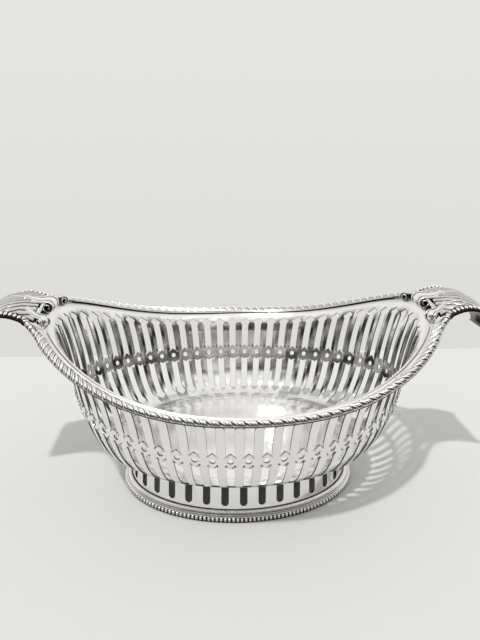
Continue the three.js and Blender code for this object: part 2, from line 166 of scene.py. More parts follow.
def nth(share: Array, count: int) -> Array:
    """Counts which of a plate's evenly spaced lines each share of its width lies on."""
    return np.rint(share * count).astype(int)


def lengths_along(line: Array) -> Array:
    """Measures how far along a line each of its points lies."""
    return np.concatenate([[0.0], np.cumsum(np.linalg.norm(np.diff(line, axis=0), axis=1))])


def split_equally(ring: Form, count: int) -> Array:
    """Splits an oval into equal lengths.

    Args:
        ring: Takes angles round the oval and returns its points.
        count: How many lengths.

    Returns:
        The angles between them, the first on +Y and one more to close the oval.
    """
    fine = np.linspace(math.pi / 2, 5 * math.pi / 2, RING_SAMPLES)
    lengths = lengths_along(ring(fine))
    return np.interp(np.linspace(0, lengths[-1], count + 1), lengths, fine)


def half_bay(ring: Form, bays: int) -> float:
    """Half of the length that each bay takes up of an oval."""
    return float(lengths_along(ring(split_equally(ring, ROUND_STEPS)))[-1]) / bays / 2


@dataclass(frozen=True)
class BowlForm:
    """The raised form of the bowl's outer face, lofted between a side and an end profile.

    Profiles are [half-width, height] from the foot to the rim, in millimetres.
    """

    side: tuple = (
        (44.2, 25.3), (52.8, 26.9), (59.3, 31.0), (63.8, 37.2), (66.9, 44.6),
        (69.1, 52.6), (70.6, 60.5), (72.0, 68.0), (74.2, 74.5), (78.4, 79.6),
    )
    end: tuple = (
        (64.6, 25.3), (75.2, 27.6), (82.2, 33.7), (87.0, 43.0), (90.3, 52.8),
        (92.4, 62.5), (94.5, 77.5), (97.0, 90.5), (100.4, 101.5), (107.0, 109.0),
    )
    saddle: float = 2.8
    step: float = 1e-4

    def point(self, angle: Array, station: Array) -> Array:
        """Finds points of the outer face.

        Args:
            angle: Angles round the oval.
            station: Stations up the profile. Below 0 they run in over the flat floor to its centre at -1.

        Returns:
            Points in millimetres.
        """
        angle, station = np.broadcast_arrays(np.asarray(angle, float), np.asarray(station, float))
        side, end = curve(self.side, station), curve(self.end, station)
        rise = np.abs(np.cos(angle)) ** self.saddle
        inward = 1 + np.minimum(station, 0.0)
        return np.stack([
            end[..., 0] * np.cos(angle) * inward,
            side[..., 0] * np.sin(angle) * inward,
            side[..., 1] + (end[..., 1] - side[..., 1]) * rise,
        ], axis=-1)

    def normal(self, angle: Array, station: Array) -> Array:
        """Finds the outward normals of the outer face."""
        around = self.point(angle + self.step, station) - self.point(angle - self.step, station)
        up = self.point(angle, np.minimum(station + self.step, 1)) - self.point(angle, station - self.step)
        return unit(np.cross(around, up))

    def ring(self, station: float) -> Form:
        """The oval at a station."""
        return lambda angle: self.point(angle, station)


@dataclass(frozen=True)
class FootForm:
    """The conical oval of the foot's collar, and ovals set off from its base."""

    base: tuple = (65.2, 44.2)
    neck: tuple = (63.2, 42.4)
    bottom: float = 0.4
    top: float = 25.0

    def offset(self, angle: Array, out: Array, z: Array) -> Array:
        """Finds points off the base oval, by a distance square to it and a height."""
        a, b = self.base
        flat = np.stack([a * np.cos(angle), b * np.sin(angle), np.broadcast_to(z, angle.shape)], axis=-1)
        return flat + square_out(angle, a, b) * np.asarray(out)[..., None]

    def lean(self, z: Array) -> Array:
        """The collar's face at a height, as a distance off its base oval."""
        share = (z - self.bottom) / (self.top - self.bottom)
        return -share * (self.base[0] - self.neck[0] + self.base[1] - self.neck[1]) / 2

    def ring(self, out: float) -> Form:
        """The oval at a distance off the base oval."""
        return lambda angle: self.offset(angle, out, 0.0)


@dataclass(frozen=True)
class HandleForm:
    """The curled strap of one lip handle, made for the +X end and turned round for the other.

    The edge's knots are [x, half-width, height] from the rim, over the crest, to the curl.
    """

    bowl: BowlForm = BowlForm()
    edge: tuple = (
        (110.0, 20.6, 107.2), (115.5, 19.8, 109.4), (121.5, 19.4, 110.4), (128.0, 19.0, 109.2), (134.0, 18.6, 105.6),
        (139.8, 18.0, 100.6), (144.3, 17.2, 95.9), (144.6, 16.0, 92.4), (142.5, 14.6, 90.8), (140.4, 13.2, 92.4),
    )
    root_angle: float = 0.33
    crown: float = 4.6
    crown_end: float = 0.66
    root_crown: float = 0.4
    root_gap: float = 0.3
    samples: int = 1200
    lift_step: float = 1e-4
    normal_step: float = 1e-3

    def edge_point(self, t: Array) -> Array:
        """Points of the strap's edge, at +Y."""
        return curve(self.edge, t, evenly=False)

    def lift(self, t: Array) -> Array:
        """The direction square out of the strap's upper face, in the plane of length and height."""
        ahead, behind = np.minimum(t + self.lift_step, 1), np.maximum(t - self.lift_step, 0)
        along = self.edge_point(ahead) - self.edge_point(behind)
        return unit(np.stack([-along[..., 2], np.zeros(t.shape), along[..., 0]], axis=-1))

    def top(self, t: Array, c: Array) -> Array:
        """Finds points of the strap's upper face.

        Args:
            t: Along it, from -1 at the root over 0 at the first row to 1 in the curl.
            c: Across it, from -1 to 1.

        Returns:
            Points in millimetres.
        """
        t, c = np.broadcast_arrays(np.asarray(t, float), np.asarray(c, float))
        ahead = np.clip(t, 0.0, 1.0)
        edge = self.edge_point(ahead)
        swell = self.crown * np.maximum(1 - ahead / self.crown_end, 0.0) * (1 - c * c)
        body = np.stack([edge[..., 0], edge[..., 1] * c, edge[..., 2]], axis=-1) + self.lift(ahead) * swell[..., None]
        angle = self.root_angle * c
        root = self.bowl.point(angle, 1.0) + square_out(angle) * self.root_gap
        root[..., 2] += self.crown * self.root_crown * (1 - c * c)
        back = np.clip(-t, 0.0, 1.0)[..., None]
        return body * (1 - back) + root * back

    def along(self, share: Array, start: float, stop: float) -> Array:
        """Finds places by the share of the length between two places that lies behind them."""
        fine = np.linspace(start, stop, self.samples)
        lengths = lengths_along(self.top(fine, 0.0))
        return np.interp(share * lengths[-1], lengths, fine)

    def normal(self, t: Array, c: Array) -> Array:
        """The strap's true upward normals."""
        step = self.normal_step
        along = self.top(np.minimum(t + step, 1), c) - self.top(np.maximum(t - step, -1), c)
        across = self.top(t, np.minimum(c + step, 1)) - self.top(t, np.maximum(c - step, -1))
        return unit(np.cross(along, across))


# Work at the bench


class Bench:
    """The operators that the pieces are modelled with, each on one object at a time."""

    @staticmethod
    def take(*pieces: Piece) -> None:
        """Makes pieces the only ones selected, and the first of them active."""
        if bpy.context.object and bpy.context.object.mode != "OBJECT":
            bpy.ops.object.mode_set(mode="OBJECT")
        bpy.ops.object.select_all(action="DESELECT")
        for piece in reversed(pieces):
            piece.select_set(True)
            bpy.context.view_layer.objects.active = piece

    @staticmethod
    @contextmanager
    def editing(piece: Piece) -> Iterator[None]:
        """Holds a piece in edit mode with all of it selected."""
        Bench.take(piece)
        bpy.ops.object.mode_set(mode="EDIT")
        bpy.ops.mesh.select_all(action="SELECT")
        yield
        bpy.ops.object.mode_set(mode="OBJECT")

    @staticmethod
    def settle(scale: Sequence[float]) -> Piece:
        """Scales the piece just added and moves its place and scale into its mesh."""
        piece = bpy.context.object
        piece.scale = scale
        bpy.ops.object.transform_apply(location=True, rotation=True, scale=True)
        return piece

    @staticmethod
    def plate(columns: int, rows: int, low: Sequence[float] = (0, 0), high: Sequence[float] = (1, 1)) -> Piece:
        """Adds a flat plate in the XY plane, already cut into columns and rows.

        Args:
            columns: How many lie along x.
            rows: How many lie along y.
            low: The plate's lowest x and y.
            high: Its highest x and y.

        Returns:
            The plate.
        """
        Bench.take()
        centre = ((low[0] + high[0]) / 2, (low[1] + high[1]) / 2, 0.0)
        bpy.ops.mesh.primitive_grid_add(x_subdivisions=columns, y_subdivisions=rows, size=1.0, location=centre)
        return Bench.settle((high[0] - low[0], high[1] - low[1], 1.0))

    @staticmethod
    def rolled(columns: int, rows: int, form: Form) -> Piece:
        """Rolls a plate to a closed section along a line and closes its ends.

        Args:
            columns: How many steps lie along the line.
            rows: How many lie round the section.
            form: Takes places along and round, from 0 to 1, as lay does.

        Returns:
            The piece.
        """
        strip = Bench.plate(columns, rows)
        Bench.lay(strip, form)
        Bench.close(strip)
        return strip

    @staticmethod
    def beads(half: Sequence[float], count: int, pitch: float, segments: int, rings: int) -> Piece:
        """Sets out a straight row of beads along x.

        Args:
            half: The half-sizes of one bead.
            count: How many beads.
            pitch: How far one is from the next.
            segments: How many faces go round one.
            rings: How many go from end to end.

        Returns:
            The beads, as one piece.
        """
        Bench.take()
        bpy.ops.mesh.primitive_uv_sphere_add(segments=segments, ring_count=rings, radius=1.0)
        beads = Bench.settle(half)
        Bench.row(beads, count, pitch, joined=False)
        return beads

    @staticmethod
    def score(piece: Piece, axis: int, places: Sequence[float]) -> None:
        """Cuts edges right across a piece, square to an axis.

        Args:
            piece: The piece.
            axis: 0 for x or 1 for y.
            places: Where each cut crosses that axis.
        """
        with Bench.editing(piece):
            for place in places:
                point, normal = [0.0, 0.0, 0.0], [0.0, 0.0, 0.0]
                point[axis], normal[axis] = place, 1.0
                bpy.ops.mesh.select_all(action="SELECT")
                bpy.ops.mesh.bisect(plane_co=point, plane_no=normal)

    @staticmethod
    def select(piece: Piece, kind: str, wanted: Callable[[object], bool]) -> None:
        """Selects vertices, edges or faces of a piece that is in edit mode.

        Args:
            piece: The piece.
            kind: VERT, EDGE or FACE.
            wanted: Says of one element whether it is selected.
        """
        bpy.ops.mesh.select_mode(type=kind)
        bpy.ops.mesh.select_all(action="DESELECT")
        mesh = bmesh.from_edit_mesh(piece.data)
        mesh.normal_update()
        for element in {"VERT": mesh.verts, "EDGE": mesh.edges, "FACE": mesh.faces}[kind]:
            if wanted(element):
                element.select = True
        bmesh.update_edit_mesh(piece.data)

    @staticmethod
    def modify(piece: Piece, kind: str, **settings: object) -> None:
        """Adds a modifier with its settings and applies it."""
        Bench.take(piece)
        modifier = piece.modifiers.new(kind.title(), kind)
        for key, value in settings.items():
            setattr(modifier, key, value)
        bpy.ops.object.modifier_apply(modifier=modifier.name)

    @staticmethod
    def row(piece: Piece, count: int, pitch: float, joined: bool = True) -> None:
        """Repeats a flat piece along x, joined where the copies meet or each on its own."""
        Bench.modify(
            piece, "ARRAY", count=count, use_relative_offset=False, use_constant_offset=True,
            constant_offset_displace=(pitch, 0.0, 0.0), use_merge_vertices=joined, merge_threshold=ROW_SEAM,
        )

    @staticmethod
    def vertices(piece: Piece) -> Array:
        """Reads where a piece's vertices lie."""
        values = np.zeros(len(piece.data.vertices) * 3, np.float32)
        piece.data.vertices.foreach_get("co", values)
        return values.reshape(-1, 3).astype(float)

    @staticmethod
    def lay(piece: Piece, form: Form) -> None:
        """Lays a piece's mesh on a form.

        Args:
            piece: The flat or straight piece, in millimetres.
            form: Takes its vertices and returns where they lie, in millimetres. It may add to that a
            painted shade for each, from 0 to 1, and the piece is then painted with it.
        """
        laid = form(Bench.vertices(piece))
        if isinstance(laid, tuple):
            laid, painted_shade = laid
            paint(piece, "painted_shade", painted_shade)
        piece.data.vertices.foreach_set("co", (laid * MM).astype(np.float32).ravel())
        piece.data.update()

    @staticmethod
    def merge(piece: Piece) -> None:
        """Merges the vertices of bent sheet where it meets itself."""
        with Bench.editing(piece):
            bpy.ops.mesh.remove_doubles(threshold=SHEET_SEAM)

    @staticmethod
    def close(piece: Piece) -> None:
        """Merges the vertices of a seam, closes the open ends and turns every face outwards."""
        with Bench.editing(piece):
            bpy.ops.mesh.remove_doubles(threshold=SEAM)
            bpy.ops.mesh.select_all(action="SELECT")
            bpy.ops.mesh.fill_holes(sides=0)
        Bench.face_outward(piece)

    @staticmethod
    def face_outward(piece: Piece) -> None:
        """Turns every face of a closed piece outwards."""
        with Bench.editing(piece):
            bpy.ops.mesh.normals_make_consistent(inside=False)

    @staticmethod
    def join(*pieces: Piece) -> Piece:
        """Joins pieces into the first of them."""
        Bench.take(*pieces)
        bpy.ops.object.join()
        return pieces[0]


def paint(piece: Piece, name: str, values: Array) -> None:
    """Stores one value a vertex, for a material to read.

    Args:
        piece: The piece.
        name: The attribute's name.
        values: The values, one for each vertex.
    """
    layer = piece.data.attributes.get(name) or piece.data.attributes.new(name, "FLOAT", "POINT")
    layer.data.foreach_set("value", np.asarray(values, np.float32))


def finish_piece(piece: Piece, node: str, finish: "Finish", crease: float) -> None:
    """Names and shades a piece, gives it its finish and ties it to the frame.

    Args:
        piece: The finished mesh.
        node: The CAD node that it stands for.
        finish: What its surface is.
        crease: The angle in degrees above which an edge stays sharp.
    """
    piece.name = piece.data.name = node + "_silver"
    Bench.take(piece)
    bpy.ops.object.shade_smooth_by_angle(angle=math.radians(crease))
    piece.data.materials.clear()
    piece.data.materials.append(finish.material())
    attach(piece, BODY)
    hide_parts(node)
    log.info("%s: %d faces, for %s", piece.name, len(piece.data.polygons), node)


# Finishes


def linear(code: str) -> tuple[float, float, float, float]:
    """Turns an sRGB hex colour to linear RGBA."""
    parts = [int(code[i:i + 2], 16) / 255 for i in (1, 3, 5)]
    return (*(p / 12.92 if p <= 0.04045 else ((p + 0.055) / 1.055) ** 2.4 for p in parts), 1.0)


def fresh_tree(owner: bpy.types.ID) -> NodeTree:
    """Gives a new material or world an empty node tree."""
    owner.use_nodes = True
    owner.node_tree.nodes.clear()
    return owner.node_tree


def add_node(tree: NodeTree, kind: str, links: Optional[dict] = None, **settings: object) -> Node:
    """Adds a node with its settings and what feeds it.

    Args:
        tree: The node tree.
        kind: The node's type name, without its ShaderNode prefix.
        links: Input name or number to a value, or to the output socket that feeds it.
        settings: The node's own properties.

    Returns:
        The node.
    """
    node = tree.nodes.new("ShaderNode" + kind)
    for key, value in settings.items():
        setattr(node, key, value)
    for key, value in (links or {}).items():
        if isinstance(value, Socket):
            tree.links.new(value, node.inputs[key])
        else:
            node.inputs[key].default_value = value
    return node


def remap(tree: NodeTree, value: Socket, source: Sequence[float], target: Sequence[float] = (0.0, 1.0)) -> Socket:
    """Maps a value from one range to another, held within it."""
    return add_node(tree, "MapRange", {
        "Value": value, "From Min": source[0], "From Max": source[1], "To Min": target[0], "To Max": target[1],
    }).outputs["Result"]


def mix(tree: NodeTree, share: Socket, first: object, second: object) -> Socket:
    """Mixes two colours, each a value or an output socket."""
    return add_node(tree, "MixRGB", {"Fac": share, "Color1": first, "Color2": second}).outputs["Color"]


@dataclass(frozen=True)
class Finish:
    """Sterling silver as raised, soldered and hand polished.

    It reflects nearly all light, a shade warm. Buffing leaves a slow ripple in its reflections and
    fine rubbing marks. Its colour is darkened by painted shade in grooves, recesses and undersides and by
    painted dark reflections on the bowl's inner face, and it is duller there. Where bread and knives
    wear it, on the bowl's floor, its reflections spread to a soft glow.
    """

    name: str = "polished_silver"
    slot: Slot = Slot.PLAIN
    silver: str = "#F1F0EE"
    cloud: str = "#DEDBD6"
    # the colour that the painted shade and painted dark reflections darken the silver towards
    painted_shade: str = "#26221F"
    roughness: float = 0.11
    rubbed: tuple = (0.75, 1.3)
    ripple_mm: float = 9.0
    ripple_height_mm: float = 0.035
    rubbing_mm: float = 0.5
    cloud_mm: float = 22.0
    cloud_edge: tuple = (0.45, 0.75)
    cloud_share: float = 0.35
    painted_shade_gloss: float = 0.3
    worn_gloss: float = 0.08

    def material(self) -> bpy.types.Material:
        """Builds the material once and returns it after that."""
        if self.name in bpy.data.materials:
            return bpy.data.materials[self.name]
        material = bpy.data.materials.new(self.name)
        tree = fresh_tree(material)
        place = add_node(tree, "TexCoord").outputs["Object"]
        painted_shade, wear = (
            add_node(tree, "Attribute", attribute_name=name).outputs["Fac"] for name in ("painted_shade", "wear"))

        def noise(size_mm: float, detail: float, roughness: float = 0.5) -> Socket:
            """Adds a noise that repeats over about a size in millimetres."""
            return add_node(tree, "TexNoise", {
                "Vector": place, "Scale": 1 / (size_mm * MM), "Detail": detail, "Roughness": roughness,
            }).outputs["Fac"]

        def times_plus(share: Socket, factor: float, base: Socket) -> Socket:
            """Adds a share of a factor to a base."""
            return add_node(tree, "Math", {0: share, 1: factor, 2: base}, operation="MULTIPLY_ADD").outputs[0]

        cloud = remap(tree, noise(self.cloud_mm, detail=3.0), self.cloud_edge, (0.0, self.cloud_share))
        bright = mix(tree, cloud, linear(self.silver), linear(self.cloud))
        rubbed = [self.roughness * share for share in self.rubbed]
        rubbing = remap(tree, noise(self.rubbing_mm, detail=2.0), NOISE_RANGE, rubbed)
        gloss = times_plus(painted_shade, self.painted_shade_gloss, times_plus(wear, self.worn_gloss, rubbing))
        bump = add_node(tree, "Bump", {
            "Height": noise(self.ripple_mm, detail=1.0, roughness=0.4), "Strength": 1.0,
            "Distance": self.ripple_height_mm * MM})
        # the painted shade mixes the silver towards its dark colour
        shader = add_node(tree, "BsdfPrincipled", {
            "Base Color": mix(tree, painted_shade, bright, linear(self.painted_shade)), "Metallic": 1.0, "Roughness": gloss,
            "Normal": bump.outputs["Normal"]})
        add_node(tree, "OutputMaterial", {"Surface": shader.outputs["BSDF"]})
        return material


# Sheet silver that a wheel has polished: broad, clear reflections with a slow ripple
PLAIN = Finish()
# Cast and chased silver, polished by hand: a closer ripple, a shade duller on its small faces
CHASED = Finish(name="chased_silver", slot=Slot.CHASED, ripple_mm=4.0, ripple_height_mm=0.02, roughness=0.14)


# Pierced sheet


@dataclass(frozen=True)
class Row:
    """One line of a flat bay: its height, the opening's half-width there, and how far its tip stands off."""

    y: float
    half: float
    tip: float = 0.0


def arc_rows(centre: float, radius: float, start: float, stop: float) -> list[Row]:
    """Lists the rows of a round edge between two turns, counted from its lowest point."""
    turns = np.linspace(start, stop, ARC_ROWS)
    return [Row(centre - radius * math.cos(turn), radius * math.sin(turn)) for turn in turns]


@dataclass
class PiercedStrip:
    """A flat strip of sheet silver, one bay of openings repeated along x.

    Half a bay is scored, its inner edge pulled back to the openings, mirrored and thickened.
    """

    rows: Sequence[Row]
    half: float
    bays: int
    sheet: float
    cut_bevel: float
    scores: Sequence[float]
    open_bottom: bool = False
    upright: float = 0.5
    sharp: float = 60.0
    plain_margin: float = 1.0

    def pull(self, piece: Piece, row: Row) -> None:
        """Moves the vertex at a row's inner end out to the opening's edge."""
        Bench.select(piece, "VERT", lambda v: abs(v.co.x) < NEAR and abs(v.co.y - row.y) < NEAR)
        bpy.ops.transform.translate(value=(row.half, row.tip, 0.0))

    def is_joint(self, face: bmesh.types.BMFace) -> bool:
        """Says whether a thin face is one that meets the next bay, or the floor."""
        at_side = all(abs(abs(v.co.x) - self.half) < NEAR for v in face.verts)
        at_bottom = self.open_bottom and all(abs(v.co.y - self.rows[0].y) < NEAR for v in face.verts)
        return abs(face.normal.z) < self.upright and (at_side or at_bottom)

    def is_cut(self, edge: bmesh.types.BMEdge) -> bool:
        """Says whether an edge runs along an opening, on either face of the sheet."""
        a, b = (v.co for v in edge.verts)
        between = self.rows[0].y + self.plain_margin < a.y < self.rows[-1].y - self.plain_margin
        if len(edge.link_faces) != 2 or not between:
            return False
        return edge.calc_face_angle() > math.radians(self.sharp) and abs(a.z - b.z) < NEAR / 10

    def build(self) -> Piece:
        """Cuts the strip and files a narrow bevel along its openings."""
        strip = Bench.plate(1, 1, (0.0, self.rows[0].y), (self.half, self.rows[-1].y))
        Bench.score(strip, 1, [row.y for row in self.rows[1:-1]])
        Bench.score(strip, 0, self.scores)
        with Bench.editing(strip):
            for row in self.rows:
                if row.half > NEAR or row.tip:
                    self.pull(strip, row)
        Bench.modify(strip, "MIRROR", use_clip=False, use_mirror_merge=True, merge_threshold=MIRROR_SEAM)
        Bench.modify(strip, "SOLIDIFY", thickness=self.sheet, offset=-1.0)
        with Bench.editing(strip):
            Bench.select(strip, "FACE", self.is_joint)
            bpy.ops.mesh.delete(type="ONLY_FACE")
            Bench.select(strip, "EDGE", self.is_cut)
            bpy.ops.mesh.bevel(offset=self.cut_bevel, segments=1, affect="EDGES", clamp_overlap=True)
        Bench.row(strip, self.bays, 2 * self.half)
        return strip


@dataclass(frozen=True)
class Slots:
    """One row of slots: the heights of their corners as shares of the wall, and their half-widths."""

    point: float
    broad: float
    neck: float
    shoulder: float
    notch: float
    notch_foot: float
    head: float
    slot: float
    middle: tuple


@dataclass
class PiercedBowl:
    """The bowl: a flat strip of 60 pierced bays, raised to the form, with its floor.

    Lengths are in millimetres on a strip whose wall is nominal_height high. Heights up the wall are
    shares of it.
    """

    form: BowlForm = BowlForm()
    bays: int = 60
    nominal_height: float = 70.0
    floor_rows: tuple = (-14.0, -9.0, -4.5, -1.6, 0.0)
    floor_open: float = 0.55
    foot_rows: tuple = (0.03, 0.06, 0.09, 0.12)
    rim_rows: tuple = (0.925, 0.945, 0.965, 0.985, 1.0)
    lower: Slots = Slots(
        point=0.150, broad=0.203, neck=0.238, shoulder=0.510, notch=0.483, notch_foot=0.518, head=3.2, slot=2.05,
        middle=(0.27, 0.48, 8))
    upper: Slots = Slots(
        point=0.905, broad=0.862, neck=0.832, shoulder=0.588, notch=0.615, notch_foot=0.58, head=3.45, slot=2.2,
        middle=(0.62, 0.80, 6))
    hole_height: float = 0.551
    hole_radius: float = 1.5
    tool_groups: tuple = ((0.150, 0.238), (0.483, 0.615), (0.832, 0.905))
    scores: tuple = (3.62, 3.95)
    wall_samples: tuple = (41, 46)
    true_within: float = 3.0
    bars_from: tuple = (0.07, 0.13)
    sheet: float = 0.85
    cut_bevel: float = 0.2
    # painted shade on the cut faces, painted dark reflections on the inner face, and painted shade under the rim
    cut_shade: float = 0.85
    dark_reflection_depth: float = 0.9
    dark_reflection_least: float = 0.05
    dark_reflection_ends: tuple = (0.1, 0.55)
    dark_reflection_band: tuple = (0.05, 0.2, 0.86, 0.93)
    dark_reflection_waves: tuple = ((2.4, 9.0), (1.1, -23.0))
    dark_reflection_edge: tuple = (-0.6, 0.7)
    rim_shade: float = 0.9
    rim_band: tuple = (0.935, 0.965, 0.985, 1.0)
    rim_ends: float = 0.2
    front_rim_share: float = 0.3
    worn_edge: tuple = (0.04, -0.04)
    skin: float = 0.05
    dark_below: float = -1.0

    def __post_init__(self) -> None:
        """Splits the ring of holes into its bays."""
        ring = self.form.ring(self.hole_height)
        self.half, self.angles = half_bay(ring, self.bays), split_equally(ring, self.bays)

    def slot_rows(self, slots: Slots) -> list[Row]:
        """Lists the rows of one slot.

        Args:
            slots: Which of the two rows of slots it is in.

        Returns:
            Its rows, from its point to its notch.
        """
        listed = [(slots.point, 0.0), (slots.broad, slots.head), (slots.neck, slots.slot)]
        listed += [(height, slots.slot) for height in np.linspace(*slots.middle)]
        listed += [(slots.shoulder, slots.slot)]
        tall = self.nominal_height
        notch = Row(slots.notch_foot * tall, 0.0, (slots.notch - slots.notch_foot) * tall)
        return [Row(height * tall, half) for height, half in listed] + [notch]

    def rows(self) -> list[Row]:
        """Lists the rows of one bay, from the floor's opening to the rim."""
        tall = self.nominal_height
        listed = [Row(y, 0.0) for y in self.floor_rows] + [Row(height * tall, 0.0) for height in self.foot_rows]
        listed += self.slot_rows(self.lower) + arc_rows(self.hole_height * tall, self.hole_radius, 0.0, math.pi)
        listed += self.slot_rows(self.upper) + [Row(height * tall, 0.0) for height in self.rim_rows]
        return sorted(listed, key=lambda row: row.y)

    def true_station(self, angle: Array, nominal: Array) -> Array:
        """Keeps what one tool cuts the same size all round, where the wall is taller at the ends.

        Args:
            angle: Each vertex's angle round the oval.
            nominal: Its station on the flat strip.

        Returns:
            Its station on the form.
        """
        stations, fine = (np.linspace(0, stop, count) for stop, count in zip((1, math.pi / 2), self.wall_samples))
        walls = [lengths_along(self.form.point(a, stations))[-1] for a in fine]
        folded = np.arctan2(np.abs(np.sin(angle)), np.abs(np.cos(angle)))
        share = self.nominal_height / np.interp(folded, fine, walls)
        flat, true = [0.0], [np.zeros_like(nominal)]
        for low, high in self.tool_groups:
            middle, reach = (low + high) / 2, (high - low) / 2
            flat += [low, high]
            true += [middle - reach * share, middle + reach * share]
        flat.append(1.0)
        true.append(np.ones_like(nominal))
        result = nominal.copy()
        for low, high, true_low, true_high in zip(flat, flat[1:], true, true[1:]):
            inside = (nominal >= low) & (nominal <= high)
            result = np.where(inside, true_low + (nominal - low) / (high - low) * (true_high - true_low), result)
        return result

    def bay_of(self, x: Array) -> Array:
        """Counts which bay of the flat strip each x lies in."""
        return np.clip(np.rint(x / (2 * self.half)).astype(int), 0, self.bays - 1)

    def raise_strip(self, flat: Array) -> Array:
        """Bends the flat strip round the oval and up to the bowl's form.

        Args:
            flat: Its vertices: x along the strip, y up the wall, z out of the outer face.

        Returns:
            Where they lie on the basket.
        """
        angles, half, bay = self.angles, self.half, self.bay_of(flat[:, 0])
        x = flat[:, 0] - bay * 2 * half
        steps = np.diff(angles)
        step = np.where(x >= 0, steps[bay], steps[bay - 1]) / 2
        nominal = flat[:, 1] / self.nominal_height
        floor = np.clip(flat[:, 1] / -self.floor_rows[0], -1, 0) * (1 - self.floor_open)
        station = np.where(flat[:, 1] < 0, floor, self.true_station(angles[bay], nominal))
        beside = self.form.point(angles[bay] + ANGLE_STEP, station) - self.form.point(angles[bay], station)
        rate = np.linalg.norm(beside, axis=1) / ANGLE_STEP
        border = rate * step
        cut = np.abs(x) + (border - half) * smoothstep(self.true_within, half, np.abs(x))
        plain = np.abs(x) * border / half
        among = smoothstep(*self.bars_from, nominal)
        angle = angles[bay] + np.sign(x) * (cut * among + plain * (1 - among)) / rate
        return self.form.point(angle, station) + self.form.normal(angle, station) * flat[:, 2:3]

    def painted_reflection_and_shade(self, flat: Array) -> Array:
        """Finds the painted dark reflections and the painted shade on the inner face.

        The painted dark reflections lie in slow patches over the pierced part, stronger towards the ends,
        and an even painted shade lies close under the rim, fainter on the front side.

        Args:
            flat: The x and y of the strip's vertices.

        Returns:
            The painted darkness of each, from 0 to 1.
        """
        bay, height = self.bay_of(flat[:, 0]), flat[:, 1] / self.nominal_height
        angle = self.angles[bay]
        first, second = (np.sin(across * bay + up * height) for across, up in self.dark_reflection_waves)
        patchy = smoothstep(*self.dark_reflection_edge, first * second)
        darker_at_ends = self.dark_reflection_least + self.dark_reflection_depth * smoothstep(*self.dark_reflection_ends, np.abs(np.cos(angle)))
        far_side = smoothstep(-self.rim_ends, self.rim_ends, np.sin(angle))
        back = self.front_rim_share + (1 - self.front_rim_share) * far_side
        return patchy * darker_at_ends * band(self.dark_reflection_band, height) + self.rim_shade * back * band(self.rim_band, height)

    def dress(self, bowl: Piece) -> None:
        """Paints the flat strip: painted shade on its cut faces and the floor's underside, painted dark reflections
        and shade on its inner face, and its inner face worn below.
        """
        x, y, z = Bench.vertices(bowl).T
        inner, outer = z < self.skin - self.sheet, z > -self.skin
        # painted shade on the cut faces and under the floor; the inner face takes the painted dark reflections and
        # shade
        cut = (y > 0) & ~inner & (z < -self.skin)
        underside = outer & (y < self.dark_below)
        painted_reflection_and_shade = inner * self.painted_reflection_and_shade(np.stack([x, y], axis=-1))
        paint(bowl, "painted_shade", np.where(cut, self.cut_shade, np.where(underside, 1.0, painted_reflection_and_shade)))
        paint(bowl, "wear", inner * smoothstep(*self.worn_edge, y / self.nominal_height))

    def build(self) -> None:
        """Makes the bowl and puts it in place of its CAD solid."""
        bowl = PiercedStrip(
            self.rows(), self.half, self.bays, self.sheet, self.cut_bevel, self.scores, open_bottom=True).build()
        self.dress(bowl)
        Bench.lay(bowl, self.raise_strip)
        Bench.merge(bowl)
        with Bench.editing(bowl):
            Bench.select(bowl, "EDGE", lambda edge: len(edge.link_faces) == 1)
            bpy.ops.mesh.edge_face_add()
        finish_piece(bowl, "pierced_bowl", PLAIN, crease=30)


# The foot


